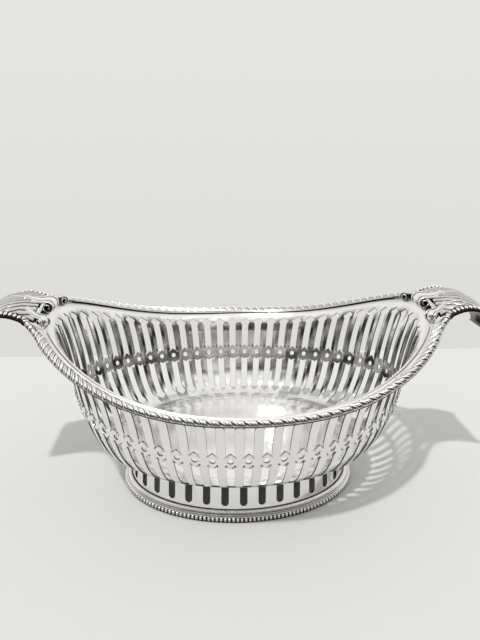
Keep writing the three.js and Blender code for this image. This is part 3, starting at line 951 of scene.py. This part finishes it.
@dataclass
class PiercedFoot:
    """The foot: a pierced collar, a stepped moulding round its base and a beaded border.

    The sections are closed outlines of [distance off the base oval, height, painted shade], the painted shade
    darkening the moulding's grooves and the seat under the beads.
    """

    form: FootForm = FootForm()
    bays: int = 34
    wall: float = 0.85
    dark_depth: float = 0.5
    slot_half: float = 2.0
    slot_bottom: float = 7.7
    slot_middle: tuple = (12.0, 16.0)
    slot_top: float = 21.5
    scores: tuple = (2.3, 3.4)
    cut_bevel: float = 0.12
    beads: int = 163
    bead_half: tuple = (1.06, 1.62, 1.5)
    bead_shade: tuple = (0.5, -0.9)
    bead_offset: float = 2.85
    bead_height: float = 1.72
    ring_steps: int = 240
    moulding: tuple = (
        (-0.15, 0.45, 0.9), (-0.15, 5.6, 0.9), (0.25, 5.55, 0.6), (0.62, 5.3, 0.1), (0.98, 4.95, 0.3),
        (1.3, 4.72, 0.1), (1.75, 4.6, 0.0), (2.0, 4.48, 0.3), (1.95, 4.32, 1.0), (2.1, 4.24, 0.7), (2.5, 4.2, 0.0),
        (2.72, 4.04, 0.3), (2.6, 3.9, 1.0), (2.75, 3.78, 0.6), (3.5, 3.68, 0.0), (3.85, 3.46, 0.3), (3.5, 3.2, 1.0),
        (0.9, 3.2, 1.0), (0.7, 0.45, 1.0), (-0.15, 0.45, 0.9),
    )
    seat: tuple = (
        (1.3, 0.0, 1.0), (1.3, 3.1, 1.0), (2.2, 3.25, 0.9), (3.3, 2.6, 1.0), (3.9, 1.6, 1.0), (3.75, 0.4, 1.0),
        (3.4, 0.0, 1.0), (1.3, 0.0, 1.0),
    )

    def round_foot(self, place: Array, angles: Array) -> Array:
        """Finds angles round the foot.

        Args:
            place: Places counted in equal steps, from one step before the first.
            angles: The angles of the steps.

        Returns:
            The angle of each place.
        """
        before, after = 2 * angles[0] - angles[1], 2 * angles[-1] - angles[-2]
        return np.interp(place, np.arange(-1, len(angles) + 1), [before, *angles, after])

    def build_collar(self) -> None:
        """Makes the pierced collar from one bay, repeated and bent round the foot's cone."""
        ring, r = self.form.ring(0.0), self.slot_half
        half, angles = half_bay(ring, self.bays), split_equally(ring, self.bays)
        rows = [Row(self.form.bottom, 0.0), *arc_rows(self.slot_bottom + r, r, 0.0, math.pi / 2)]
        rows += [Row(z, r) for z in self.slot_middle] + arc_rows(self.slot_top - r, r, math.pi / 2, math.pi)
        rows += [Row(self.form.top, 0.0)]
        collar = PiercedStrip(rows, half, self.bays, self.wall, self.cut_bevel, self.scores).build()

        def bend(flat: Array) -> tuple[Array, Array]:
            """Bends the strip round the cone, with painted shade on its inner side."""
            turn = self.round_foot(flat[:, 0] / (2 * half), angles)
            laid = self.form.offset(turn, self.form.lean(flat[:, 1]) + flat[:, 2], flat[:, 1])
            return laid, smoothstep(0.0, -self.dark_depth * self.wall, flat[:, 2])

        Bench.lay(collar, bend)
        Bench.merge(collar)
        finish_piece(collar, "foot_collar", PLAIN, crease=30)

    def build_ring(self, section: Sequence[Sequence[float]]) -> Piece:
        """Rolls a plate to a section and closes it round the foot.

        Args:
            section: The closed outline.

        Returns:
            The ring.
        """
        outline, last = np.asarray(section, float), len(section) - 1
        angles = split_equally(self.form.ring(0.0), self.ring_steps)

        def roll(flat: Array) -> tuple[Array, Array]:
            """Rolls the plate to the section round the foot, with the section's painted shade."""
            out, height, painted_shade = outline[nth(flat[:, 1], last)].T
            return self.form.offset(self.round_foot(flat[:, 0] * self.ring_steps, angles), out, height), painted_shade

        return Bench.rolled(self.ring_steps, last, roll)

    def build_beads(self) -> Piece:
        """Bends a row of beads round the foot."""
        ring = self.form.ring(self.bead_offset)
        angles, pitch = split_equally(ring, self.beads), 2 * half_bay(ring, self.beads)
        beads = Bench.beads(self.bead_half, self.beads, pitch, segments=8, rings=6)

        def bend(flat: Array) -> tuple[Array, Array]:
            """Bends the row round the foot, with painted shade below."""
            turn = self.round_foot(flat[:, 0] / pitch, angles)
            laid = self.form.offset(turn, self.bead_offset + flat[:, 1], self.bead_height + flat[:, 2])
            return laid, smoothstep(*self.bead_shade, flat[:, 2])

        Bench.lay(beads, bend)
        return beads

    def build(self) -> None:
        """Makes the whole foot."""
        self.build_collar()
        finish_piece(self.build_ring(self.moulding), "foot_moulding", PLAIN, crease=60)
        border = Bench.join(self.build_beads(), self.build_ring(self.seat))
        finish_piece(border, "foot_border", CHASED, crease=50)


# The borders of the rim


@dataclass
class GadroonBorder:
    """One rim border, from the curl of one handle round the bowl's edge to the curl of the other.

    Round the bowl it is a cast strip of gadroons: one repeat, a lobe and two reeds, is shaped flat,
    with x along, y outward and z up. Along the handles it is a row of beads on a narrow seat.
    """

    side: Side
    bowl: BowlForm = BowlForm()
    pitch: float = 5.4
    lean: float = 1.1
    half_width: float = 2.6
    wall_gap: float = 0.2
    drop: float = 0.6
    start_angle: float = 0.41
    rim_knots: int = 25
    samples: int = 2400
    strip_end: float = 109.0
    narrowing: tuple = (99.0, 105.0)
    narrow_rise: float = 0.6
    turning: tuple = (105.0, 112.0)
    lobe_share: float = 0.46
    lobe_columns: int = 7
    lobe_power: float = 0.6
    reed_columns: int = 4
    reed_power: float = 0.7
    reeds: int = 2
    reed_floor: float = 0.28
    reed_swell: float = 0.42
    # painted shade in the grooves and under the lip
    inner_groove_shade: tuple = (0.9, 0.85)
    outer_groove_shade: tuple = (0.65, 0.5)
    lip_height: float = 0.7
    crest: tuple = (
        (-2.6, 0.5), (-2.0, 1.1), (-1.1, 1.8), (-0.2, 2.45), (0.5, 2.85), (1.05, 2.95), (1.7, 2.65),
        (2.25, 1.9), (2.6, 0.95), (2.55, 0.1), (2.2, -0.45), (2.0, -0.55), (-2.6, -0.55), (-2.6, 0.5),
    )
    valley: tuple = (
        (-2.6, 0.1), (-2.0, 0.3), (-1.1, 0.75), (-0.2, 1.25), (0.5, 1.6), (1.0, 1.7), (1.5, 1.5),
        (1.9, 1.05), (2.1, 0.45), (2.15, -0.1), (2.05, -0.45), (2.0, -0.55), (-2.6, -0.55), (-2.6, 0.1),
    )
    cord_half: float = 2.1
    cord_gap: float = -0.1
    cord_rise: float = 0.3
    cord_share: tuple = (0.66, 0.02, 15)
    bead_pitch: float = 2.2
    bead_half: tuple = (0.96, 1.95, 1.6)
    bead_lift: float = 0.5
    bead_shade: float = 1.1
    seat: tuple = ((-2.0, -0.8), (-2.0, 0.1), (-1.1, 0.7), (1.1, 0.7), (2.0, 0.1), (2.0, -0.8), (-2.0, -0.8))

    def __post_init__(self) -> None:
        """Finds the line that the border follows, and the directions outward and up along it."""
        line = self.path()
        self.reach = lengths_along(line)
        tangent = unit(np.gradient(line, self.reach, axis=0))
        level = unit(np.stack([-tangent[:, 1], tangent[:, 0], np.zeros(len(line))], axis=-1)) * -self.side.value
        across = np.array([0.0, self.side.value, 0.0])
        blend = smoothstep(*self.turning, np.abs(line[:, 0]))[:, None]
        out = level * (1 - blend) + across * blend
        out = unit(out - tangent * np.sum(out * tangent, axis=-1, keepdims=True))
        self.rail = np.hstack([line, out, np.cross(out, tangent) * self.side.value])

    def path(self) -> Array:
        """Samples the line that the border follows, in millimetres."""
        edge = HandleForm(self.bowl).edge_point(np.linspace(*self.cord_share))
        edge[:, 1] += self.cord_half + self.cord_gap
        edge[:, 2] += self.cord_rise
        angle = np.linspace(self.start_angle, math.pi / 2, self.rim_knots)
        out = square_out(angle, self.bowl.end[-1][0], self.bowl.side[-1][0])
        rim = self.bowl.point(angle, 1.0) + out * (self.half_width + self.wall_gap)
        rim[:, 2] -= self.drop
        quarter = np.vstack([edge, rim])
        whole = np.vstack([quarter, quarter[-2::-1] * np.array([-1, 1, 1])])
        whole[:, 1] *= self.side.value
        return curve(whole, np.linspace(0, 1, self.samples), evenly=False)

    def bend(self, flat: Array, start: float) -> Array:
        """Bends a straight piece along the path.

        Args:
            flat: Its vertices: x along, y outward, z up.
            start: How far along the path its x of 0 lies.

        Returns:
            Where they lie on the basket.
        """
        place = np.clip(start + flat[:, 0], 0, self.reach[-1])
        rail = np.stack([np.interp(place, self.reach, column) for column in self.rail.T], axis=-1)
        return rail[:, :3] + rail[:, 3:6] * flat[:, 1:2] + rail[:, 6:] * flat[:, 2:3]

    def swelling(self) -> tuple[Array, Array]:
        """Lists how far along one repeat its columns lie, and how far each swells from valley to crest."""
        lobe = np.arange(1, self.lobe_columns + 1) / self.lobe_columns
        reed = np.arange(1, self.reed_columns + 1) / self.reed_columns
        along, swell = [[0.0], self.lobe_share * lobe], [[0.0], half_wave(lobe) ** self.lobe_power]
        for k in range(self.reeds):
            place = (k + reed) / self.reeds
            along.append(self.lobe_share + (1 - self.lobe_share) * place)
            swell.append(self.reed_floor * half_wave(place) + self.reed_swell * half_wave(reed) ** self.reed_power)
        return np.concatenate(along), np.concatenate(swell)

    def build_strip(self, start: float, stop: float) -> Piece:
        """Casts the gadroon strip.

        Args:
            start: Where it begins along the path, in millimetres.
            stop: Where it ends.

        Returns:
            The strip.
        """
        along, swell = self.swelling()
        crest, valley = np.array(self.crest), np.array(self.valley)
        columns, last = len(along) - 1, len(crest) - 1
        strip = Bench.plate(columns, last)

        def shape(flat: Array) -> tuple[Array, Array]:
            """Shapes one repeat, with painted shade in its grooves and under its lip."""
            column, row = nth(flat[:, 0], columns), nth(flat[:, 1], last)
            share = swell[column]
            section = valley[row] + (crest[row] - valley[row]) * share[:, None]
            inner, outer = (
                depth * smoothstep(end, 0.0, share) for depth, end in (self.inner_groove_shade, self.outer_groove_shade))
            groove = np.where(section[:, 0] < 0, inner, outer)
            under = smoothstep(self.lip_height, 0.0, section[:, 1]) * (section[:, 0] > 0)
            return np.column_stack([along[column] * self.pitch, section]) / MM, np.maximum(groove, under)

        Bench.lay(strip, shape)
        count = round((stop - start) / self.pitch)
        Bench.row(strip, count, self.pitch)
        length = count * self.pitch

        def lay(flat: Array) -> Array:
            """Lays the strip along the path, its lobes slanted and its ends narrowed to the cords."""
            ease = smoothstep(0.0, 2 * self.pitch, np.minimum(flat[:, 0], length - flat[:, 0]))
            slid = flat[:, 0] * (stop - start) / length + self.side.value * self.lean * flat[:, 1] * ease
            x = np.abs(np.interp(np.clip(start + slid, 0, self.reach[-1]), self.reach, self.rail[:, 0]))
            narrow = 1 - (1 - self.cord_half / self.half_width) * smoothstep(*self.narrowing, x)
            rise = 1 - self.narrow_rise * (1 - narrow)
            return self.bend(np.column_stack([slid, flat[:, 1] * narrow, flat[:, 2] * rise]), start)

        Bench.lay(strip, lay)
        Bench.close(strip)
        return strip

    def build_cord(self, start: float, stop: float) -> Piece:
        """Sets a row of beads on its seat, as a cord.

        Args:
            start: Where it begins along the path, in millimetres.
            stop: Where it ends.

        Returns:
            The cord.
        """
        count = round((stop - start) / self.bead_pitch)
        pitch = (stop - start) / count
        beads = Bench.beads(self.bead_half, count, pitch, segments=10, rings=7)
        # painted shade on the beads' lower halves, and over the whole seat
        Bench.lay(beads, lambda flat: (
            self.bend(flat + [pitch / 2, 0.0, self.bead_lift], start), smoothstep(self.bead_shade, 0.0, flat[:, 2])))
        outline, last = np.array(self.seat), len(self.seat) - 1

        def roll(flat: Array) -> tuple[Array, Array]:
            """Rolls the plate to the seat along the path, all in painted shade."""
            straight = np.column_stack([flat[:, 0] * (stop - start), outline[nth(flat[:, 1], last)]])
            return self.bend(straight, start), np.ones(len(flat))

        return Bench.join(beads, Bench.rolled(count, last, roll))

    def build(self) -> None:
        """Makes the border and puts it in place of its CAD solid."""
        on_bowl = np.flatnonzero(np.abs(self.rail[:, 0]) < self.strip_end)
        start, stop = self.reach[on_bowl[0]], self.reach[on_bowl[-1]]
        border = Bench.join(
            self.build_strip(start, stop), self.build_cord(0.0, start), self.build_cord(stop, self.reach[-1]))
        Bench.face_outward(border)
        finish_piece(border, "rim_border_" + self.side.name.lower(), CHASED, crease=46)


@dataclass
class RimWire:
    """The plain round wire soldered along the inside of the bowl's edge, on one long side."""

    side: Side
    bowl: BowlForm = BowlForm()
    radius: float = 0.6
    station: float = 0.964
    away: float = 1.27
    wall_shade: tuple = (-0.5, 0.2)
    under_shade: tuple = (0.0, -0.6)
    front_shade: float = 0.35
    end_angle: float = 0.36
    steps: int = 160
    sides: int = 10

    def lay(self, flat: Array) -> tuple[Array, Array]:
        """Rolls the plate to a wire along the bowl's edge, with painted shade towards the wall and below.

        Args:
            flat: Places along and round the wire, from 0 to 1.

        Returns:
            Where they lie on the basket, and their painted shade.
        """
        angle = self.side.value * (self.end_angle + (math.pi - 2 * self.end_angle) * flat[:, 0])
        outward = self.bowl.normal(angle, self.station)
        up = unit(np.array([0.0, 0.0, 1.0]) - outward * outward[:, 2:3])
        turn = 2 * math.pi * flat[:, 1:2]
        centre = self.bowl.point(angle, self.station) - outward * self.away
        shade = np.maximum(
            smoothstep(*self.wall_shade, np.cos(turn)), smoothstep(*self.under_shade, np.sin(turn)))[:, 0]
        # the painted shade is fainter on the front side
        if self.side is Side.FRONT:
            shade = shade * self.front_shade
        return centre + (outward * np.cos(turn) + up * np.sin(turn)) * self.radius, shade

    def build(self) -> None:
        """Draws the wire and puts it in place of its CAD solid."""
        wire = Bench.rolled(self.steps, self.sides, self.lay)
        finish_piece(wire, "rim_wire_" + self.side.name.lower(), CHASED, crease=60)


# The lip handles


@dataclass
class LipHandle:
    """One strap handle, flowing out of the rim and curling under at its end."""

    end: End
    form: HandleForm = HandleForm()
    rows: int = 110
    columns: int = 24
    sheet: float = 1.3
    bevel: float = 0.35
    bevel_above: float = 50.0
    underside: float = 0.8

    def build(self) -> None:
        """Makes the strap and puts it in place of its CAD solid."""
        strap = Bench.plate(self.rows, self.columns)
        Bench.lay(strap, lambda flat: turned(
            self.form.top(self.form.along(flat[:, 0], -1.0, 1.0), 2 * flat[:, 1] - 1), self.end))
        top_count = len(strap.data.vertices)
        Bench.modify(strap, "SOLIDIFY", thickness=self.sheet * MM, offset=-1.0)
        # painted shade over the whole underside of the strap, which shows inside the curl
        paint(strap, "painted_shade", np.where(np.arange(len(strap.data.vertices)) < top_count, 0.0, self.underside))
        Bench.face_outward(strap)
        Bench.modify(strap, "BEVEL", width=self.bevel * MM, segments=2, limit_method="ANGLE",
                     angle_limit=math.radians(self.bevel_above))
        finish_piece(strap, "handle_" + self.end.name.lower(), PLAIN, crease=40)


@dataclass
class AcanthusLeaf:
    """The chased leaf over one handle: fingers that spring from the midrib and sweep out to the edge."""

    end: End
    form: HandleForm = HandleForm()
    rows: int = 150
    columns: int = 110
    start: float = -0.5
    stop: float = 0.53
    width: float = 0.985
    lobe_depth: float = 0.05
    lobe_power: float = 0.6
    tip_from: float = 0.7
    tip_length: float = 0.31
    least_width: float = 0.02
    sheet: float = 0.4
    stand: float = 0.5
    swell: float = 0.3
    dome_fade: float = 0.5
    fingers: float = 6.0
    finger_power: float = 0.55
    sweep: tuple = (0.85, 0.9)
    flute: float = 0.75
    base_fade: tuple = (0.45, 0.25)
    veins: int = 4
    vein: float = 0.16
    midrib: float = 0.4
    midrib_half: float = 0.07
    edge_from: float = 0.92
    edge_shade: float = 0.6
    finger_shade: float = 1.3
    vein_shade: float = 0.3

    def flow(self, s: Array, u: Array) -> Array:
        """Counts the fingers: constant along a line that leaves the midrib towards the tip."""
        power, along = self.sweep
        return self.fingers * (np.abs(u) ** power - s * along + 1.0)

    def half_width(self, s: Array) -> Array:
        """The leaf's outline, lobed where each finger ends."""
        lobe = np.abs(np.sin(np.pi * self.flow(s, 1.0))) ** self.lobe_power
        tip = np.sqrt(np.clip(1 - (np.clip(s - self.tip_from, 0, 1) / self.tip_length) ** 2, 0.0, 1.0))
        return np.maximum(self.width * (1 - self.lobe_depth * (1 - lobe)) * tip, self.least_width)

    def relief(self, s: Array, u: Array) -> tuple[Array, Array]:
        """Finds how high the chasing stands, and the painted shade in its grooves and along its edge.

        Args:
            s: Places from the base at 0 to the tip at 1.
            u: Places across, from -1 to 1 at the outline.

        Returns:
            The height over the strap in millimetres, and the painted shade from 0 to 1.
        """
        flow = self.flow(s, u)
        finger = np.abs(np.sin(np.pi * flow)) ** self.finger_power
        vein = 0.5 + 0.5 * np.cos(2 * np.pi * flow * self.veins)
        rib = np.exp(-((u / self.midrib_half) ** 2))
        faded, base = self.base_fade
        fade = 1 - faded * smoothstep(base, 0.0, s)
        dome = self.swell * (1 - u * u) * (1 - self.dome_fade * s)
        height = self.stand + dome + self.flute * finger * fade * (1 - rib)
        height += self.vein * vein * finger + self.midrib * rib
        edge = self.edge_shade * smoothstep(self.edge_from, 1.0, np.abs(u))
        painted_shade = self.finger_shade * (1 - finger) + self.vein_shade * (1 - vein) + edge
        return height, np.clip(painted_shade, 0, 1) * (1 - rib)

    def build(self) -> None:
        """Makes the leaf and puts it in place of its CAD solid."""
        leaf = Bench.plate(self.rows, self.columns)

        def shape(flat: Array) -> tuple[Array, Array]:
            """Lays the leaf on the strap and chases it, with its painted shade."""
            s, u = flat[:, 0], 2 * flat[:, 1] - 1
            t = self.form.along(s, self.start, self.stop)
            height, painted_shade = self.relief(s, u)
            across = u * self.half_width(s)
            laid = self.form.top(t, across) + self.form.normal(t, across) * height[:, None]
            return turned(laid, self.end), painted_shade

        Bench.lay(leaf, shape)
        Bench.modify(leaf, "SOLIDIFY", thickness=self.sheet * MM, offset=-1.0)
        finish_piece(leaf, "leaf_" + self.end.name.lower(), CHASED, crease=60)


@dataclass
class Volute:
    """One of the three scrolls that end the leaf inside the rim: a fluted band rolled over the edge.

    The band's section is a closed outline of [across, height, painted shade], across from -1 to 1.
    """

    end: End
    name: str
    across: float
    start: float
    half_width: float
    centre: tuple
    radius: float
    form: HandleForm = HandleForm()
    rows: int = 96
    inner: float = 0.8
    turns: float = 1.45
    tail: float = 6.0
    tail_share: float = 0.25
    tail_rise: float = 0.9
    tail_width: float = 0.55
    strap_stop: float = 0.6
    strap_samples: int = 400
    hidden_turns: tuple = (0.5, 0.62)
    inner_shade: float = 0.35
    face: float = 0.9
    section: tuple = (
        (-1.0, 0.1, 0.1), (-0.95, 0.42, 0.0), (-0.82, 0.55, 0.0), (-0.66, 0.4, 0.5), (-0.58, 0.18, 1.0),
        (-0.5, 0.4, 0.4), (-0.3, 0.6, 0.0), (0.0, 0.68, 0.0), (0.3, 0.6, 0.0), (0.5, 0.4, 0.4), (0.58, 0.18, 1.0),
        (0.66, 0.4, 0.5), (0.82, 0.55, 0.0), (0.95, 0.42, 0.0), (1.0, 0.1, 0.1), (1.0, -0.25, 0.4),
        (0.93, -0.5, 1.0), (0.0, -0.5, 1.0), (-0.93, -0.5, 1.0), (-1.0, -0.25, 0.4), (-1.0, 0.1, 0.1),
    )

    def outline(self, s: Array, surface: Form) -> Array:
        """The band's path as distance out and height, from its tail on the leaf to its eye.

        Args:
            s: Places from 0 to 1.
            surface: The strap's height at a distance out.

        Returns:
            The path's points.
        """
        x, z = self.centre
        far = self.start + self.tail
        away = x + (far - x) * (1 - np.clip(s / self.tail_share, 0, 1))
        blend = smoothstep(far, x, away)
        straight = [away, (surface(away) + self.tail_rise) * (1 - blend) + (z + self.radius) * blend]
        roll = np.clip((s - self.tail_share) / (1 - self.tail_share), 0, 1)
        reach = self.radius + (self.inner - self.radius) * roll
        turn = np.pi / 2 + 2 * np.pi * self.turns * roll
        rolled = [x + reach * np.cos(turn), z + reach * np.sin(turn)]
        return np.where(s < self.tail_share, straight, rolled).T

    def build(self) -> None:
        """Makes the scroll and puts it in place of its CAD solid."""
        section, last = np.array(self.section), len(self.section) - 1
        place = self.end.value * self.across
        root = self.form.top(-1.0, place)
        out = unit((self.form.top(0.0, place) - root) * np.array([1, 1, 0]))
        sideways = np.array([-out[1], out[0], 0.0])
        strap = self.form.top(np.linspace(-1, self.strap_stop, self.strap_samples), place) - root
        steps = np.linspace(0, 1, self.rows + 1)
        path = self.outline(steps, lambda distance: np.interp(distance, strap @ out, strap[:, 2]))
        tangent = unit(np.gradient(path, axis=0))
        square = np.stack([tangent[:, 1], -tangent[:, 0]], axis=-1)
        hidden = smoothstep(*self.hidden_turns, (steps - self.tail_share) / (1 - self.tail_share) * self.turns)
        widening = self.tail_width + (1 - self.tail_width) * smoothstep(0.0, self.tail_share, steps)

        def shape(flat: Array) -> tuple[Array, Array]:
            """Rolls the band to its section along the scroll, with painted shade in its grooves, underneath and
            inside the roll.
            """
            row = nth(flat[:, 0], self.rows)
            across, height, painted_shade = section[nth(flat[:, 1], last)].T
            point = path[row] + square[row] * height[:, None]
            laid = root + out * point[:, :1] + sideways * (across * self.half_width * widening[row])[:, None]
            laid[:, 2] = root[2] + point[:, 1]
            inside = self.inner_shade * hidden[row] * (np.abs(across) < self.face)
            return turned(laid, self.end), np.maximum(painted_shade, inside)

        piece = Bench.rolled(self.rows, last, shape)
        finish_piece(piece, f"{self.name}_{self.end.name.lower()}", CHASED, crease=50)


# The studio


@dataclass
class Studio:
    """A pale table, a plain pale backdrop, one soft key lamp and the camera at the photograph's angle.

    The ramps list [place, colour]. The room is what the silver mirrors: dark low down behind the camera.
    """

    camera_place: tuple = (-19.5, -279.7, 193.8)
    pitch_down: float = 0.3255
    azimuth: float = -0.0705
    roll: float = 0.0079
    lens: float = 29.52
    sensor: float = 36.0
    nearest: float = 0.01
    table: str = "#F1F1F0"
    table_roughness: float = 0.85
    table_sheen: float = 0.2
    table_front: float = -0.34
    table_back: float = 0.194
    table_half_width: float = 0.32
    key_direction: tuple = (-0.24, -0.45, 1.0)
    key_spread: float = 2.2
    key_power: float = 1.2
    fill: str = "#FBFAF8"
    room_strength: float = 0.62
    mirrored_strength: float = 1.2
    ceiling: str = "#A5A29D"
    ceiling_share: float = 0.12
    backdrop_ramp: tuple = ((0.02, "#DCDBD8"), (0.75, "#E7E6E4"))
    room_ramp: tuple = (
        (0.0, "#171514"), (0.15, "#2A2725"), (0.34, "#38332F"), (0.44, "#8F8B86"), (0.6, "#D6D3CF"),
        (0.88, "#FFFFFF"),
    )
    backdrop_heights: tuple = (-0.4, 0.4)
    room_heights: tuple = (-0.2, 1.0)
    room_edge: tuple = (0.1, -0.35)
    ceiling_edge: tuple = (0.8, 0.97)
    patches: tuple = (6.0, 3.0, 0.65)
    unevenness: float = 0.32

    def build_camera(self) -> None:
        """Sets the camera."""
        turns = ((self.azimuth, "Z"), (math.pi / 2 - self.pitch_down, "X"), (self.roll, "Z"))
        place = Matrix.Translation(Vector(self.camera_place) * MM)
        for angle, axis in turns:
            place = place @ Matrix.Rotation(angle, 4, axis)
        data = bpy.data.cameras.new("camera")
        data.lens, data.sensor_width, data.clip_start = self.lens, self.sensor, self.nearest
        camera = bpy.data.objects.new("camera", data)
        camera.matrix_world = place
        bpy.context.scene.collection.objects.link(camera)
        bpy.context.scene.camera = camera

    def build_table(self) -> None:
        """Lays the table under its pale linen, which is matt and has next to no sheen."""
        w = self.table_half_width
        table = Bench.plate(1, 1, (-w, self.table_front), (w, self.table_back))
        table.name = "table"
        linen = bpy.data.materials.new("table_linen")
        tree = fresh_tree(linen)
        shader = add_node(tree, "BsdfPrincipled", {
            "Base Color": linear(self.table), "Roughness": self.table_roughness,
            "Specular IOR Level": self.table_sheen})
        add_node(tree, "OutputMaterial", {"Surface": shader.outputs["BSDF"]})
        table.data.materials.append(linen)

    def build_lamp(self) -> None:
        """Hangs the key lamp far off at the front left, so that its shadows run level with each other."""
        data = bpy.data.lights.new("key", "SUN")
        data.angle = math.radians(self.key_spread)
        data.energy = self.key_power
        lamp = bpy.data.objects.new("key", data)
        lamp.location = Vector(self.key_direction).normalized()
        lamp.rotation_euler = lamp.location.to_track_quat("Z", "Y").to_euler()
        bpy.context.scene.collection.objects.link(lamp)

    def build_room(self) -> None:
        """Gives the world its pale backdrop and a room that is darker behind the camera."""
        world = bpy.data.worlds.new("room")
        bpy.context.scene.world = world
        tree = fresh_tree(world)
        look = add_node(tree, "TexCoord").outputs["Generated"]
        _, y, z = add_node(tree, "SeparateXYZ", {"Vector": look}).outputs

        def ramp(place: Socket, stops: Sequence[tuple[float, str]]) -> Socket:
            """Turns a place from 0 to 1 to a colour between stops."""
            node = add_node(tree, "ValToRGB", {"Fac": place})
            elements = node.color_ramp.elements
            for position, _ in stops[1:-1]:
                elements.new(position)
            for element, (position, code) in zip(elements, stops):
                element.position, element.color = position, linear(code)
            return node.outputs["Color"]

        def light(colour: object, strength: float) -> Socket:
            """Makes a light of one colour, or of one that a socket gives."""
            return add_node(tree, "Background", {"Color": colour, "Strength": strength}).outputs[0]

        def either(is_ray: Socket, no: Socket, yes: Socket) -> Socket:
            """Takes the second light for one kind of ray and the first for the rest."""
            return add_node(tree, "MixShader", {0: is_ray, 1: no, 2: yes}).outputs[0]

        backdrop = ramp(remap(tree, z, self.backdrop_heights), self.backdrop_ramp)
        scale, detail, roughness = self.patches
        patches = add_node(
            tree, "TexNoise", {"Vector": look, "Scale": scale, "Detail": detail, "Roughness": roughness})
        shift = remap(tree, patches.outputs["Fac"], NOISE_RANGE, (-self.unevenness, self.unevenness))
        height = add_node(tree, "Math", {0: z, 1: shift}, operation="ADD").outputs[0]
        behind = remap(tree, y, self.room_edge)
        room = mix(tree, behind, backdrop, ramp(remap(tree, height, self.room_heights), self.room_ramp))
        zenith = remap(tree, z, self.ceiling_edge, (0.0, self.ceiling_share))
        room = mix(tree, zenith, room, linear(self.ceiling))
        rays = add_node(tree, "LightPath").outputs
        fill, mirrored = light(linear(self.fill), self.room_strength), light(room, self.mirrored_strength)
        lit = either(rays["Is Glossy Ray"], fill, mirrored)
        add_node(tree, "OutputWorld", {"Surface": either(rays["Is Camera Ray"], lit, light(backdrop, 1.0))})

    def build(self) -> None:
        """Sets the whole studio."""
        bpy.context.scene.view_settings.view_transform = "Standard"
        self.build_camera()
        self.build_table()
        self.build_lamp()
        self.build_room()


def main() -> None:
    """Builds the basket piece by piece, dresses it and sets the studio."""
    logging.basicConfig(level=logging.INFO, format="%(name)s %(message)s", force=True)
    for thing in list(bpy.data.objects):
        bpy.data.objects.remove(thing)
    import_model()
    Studio().build()
    PiercedBowl().build()
    PiercedFoot().build()
    for side in Side:
        GadroonBorder(side).build()
        RimWire(side).build()
    for end in End:
        LipHandle(end).build()
        AcanthusLeaf(end).build()
        Volute(end, "scroll_centre", across=0.0, start=2.4, half_width=6.4, centre=(-4.0, -1.3), radius=3.1).build()
        Volute(end, "scroll_front", across=-0.7, start=3.8, half_width=3.0, centre=(-3.0, -1.3), radius=2.5).build()
        Volute(end, "scroll_back", across=0.7, start=3.8, half_width=3.0, centre=(-3.0, -1.3), radius=2.5).build()


if __name__ == "__main__":
    main()
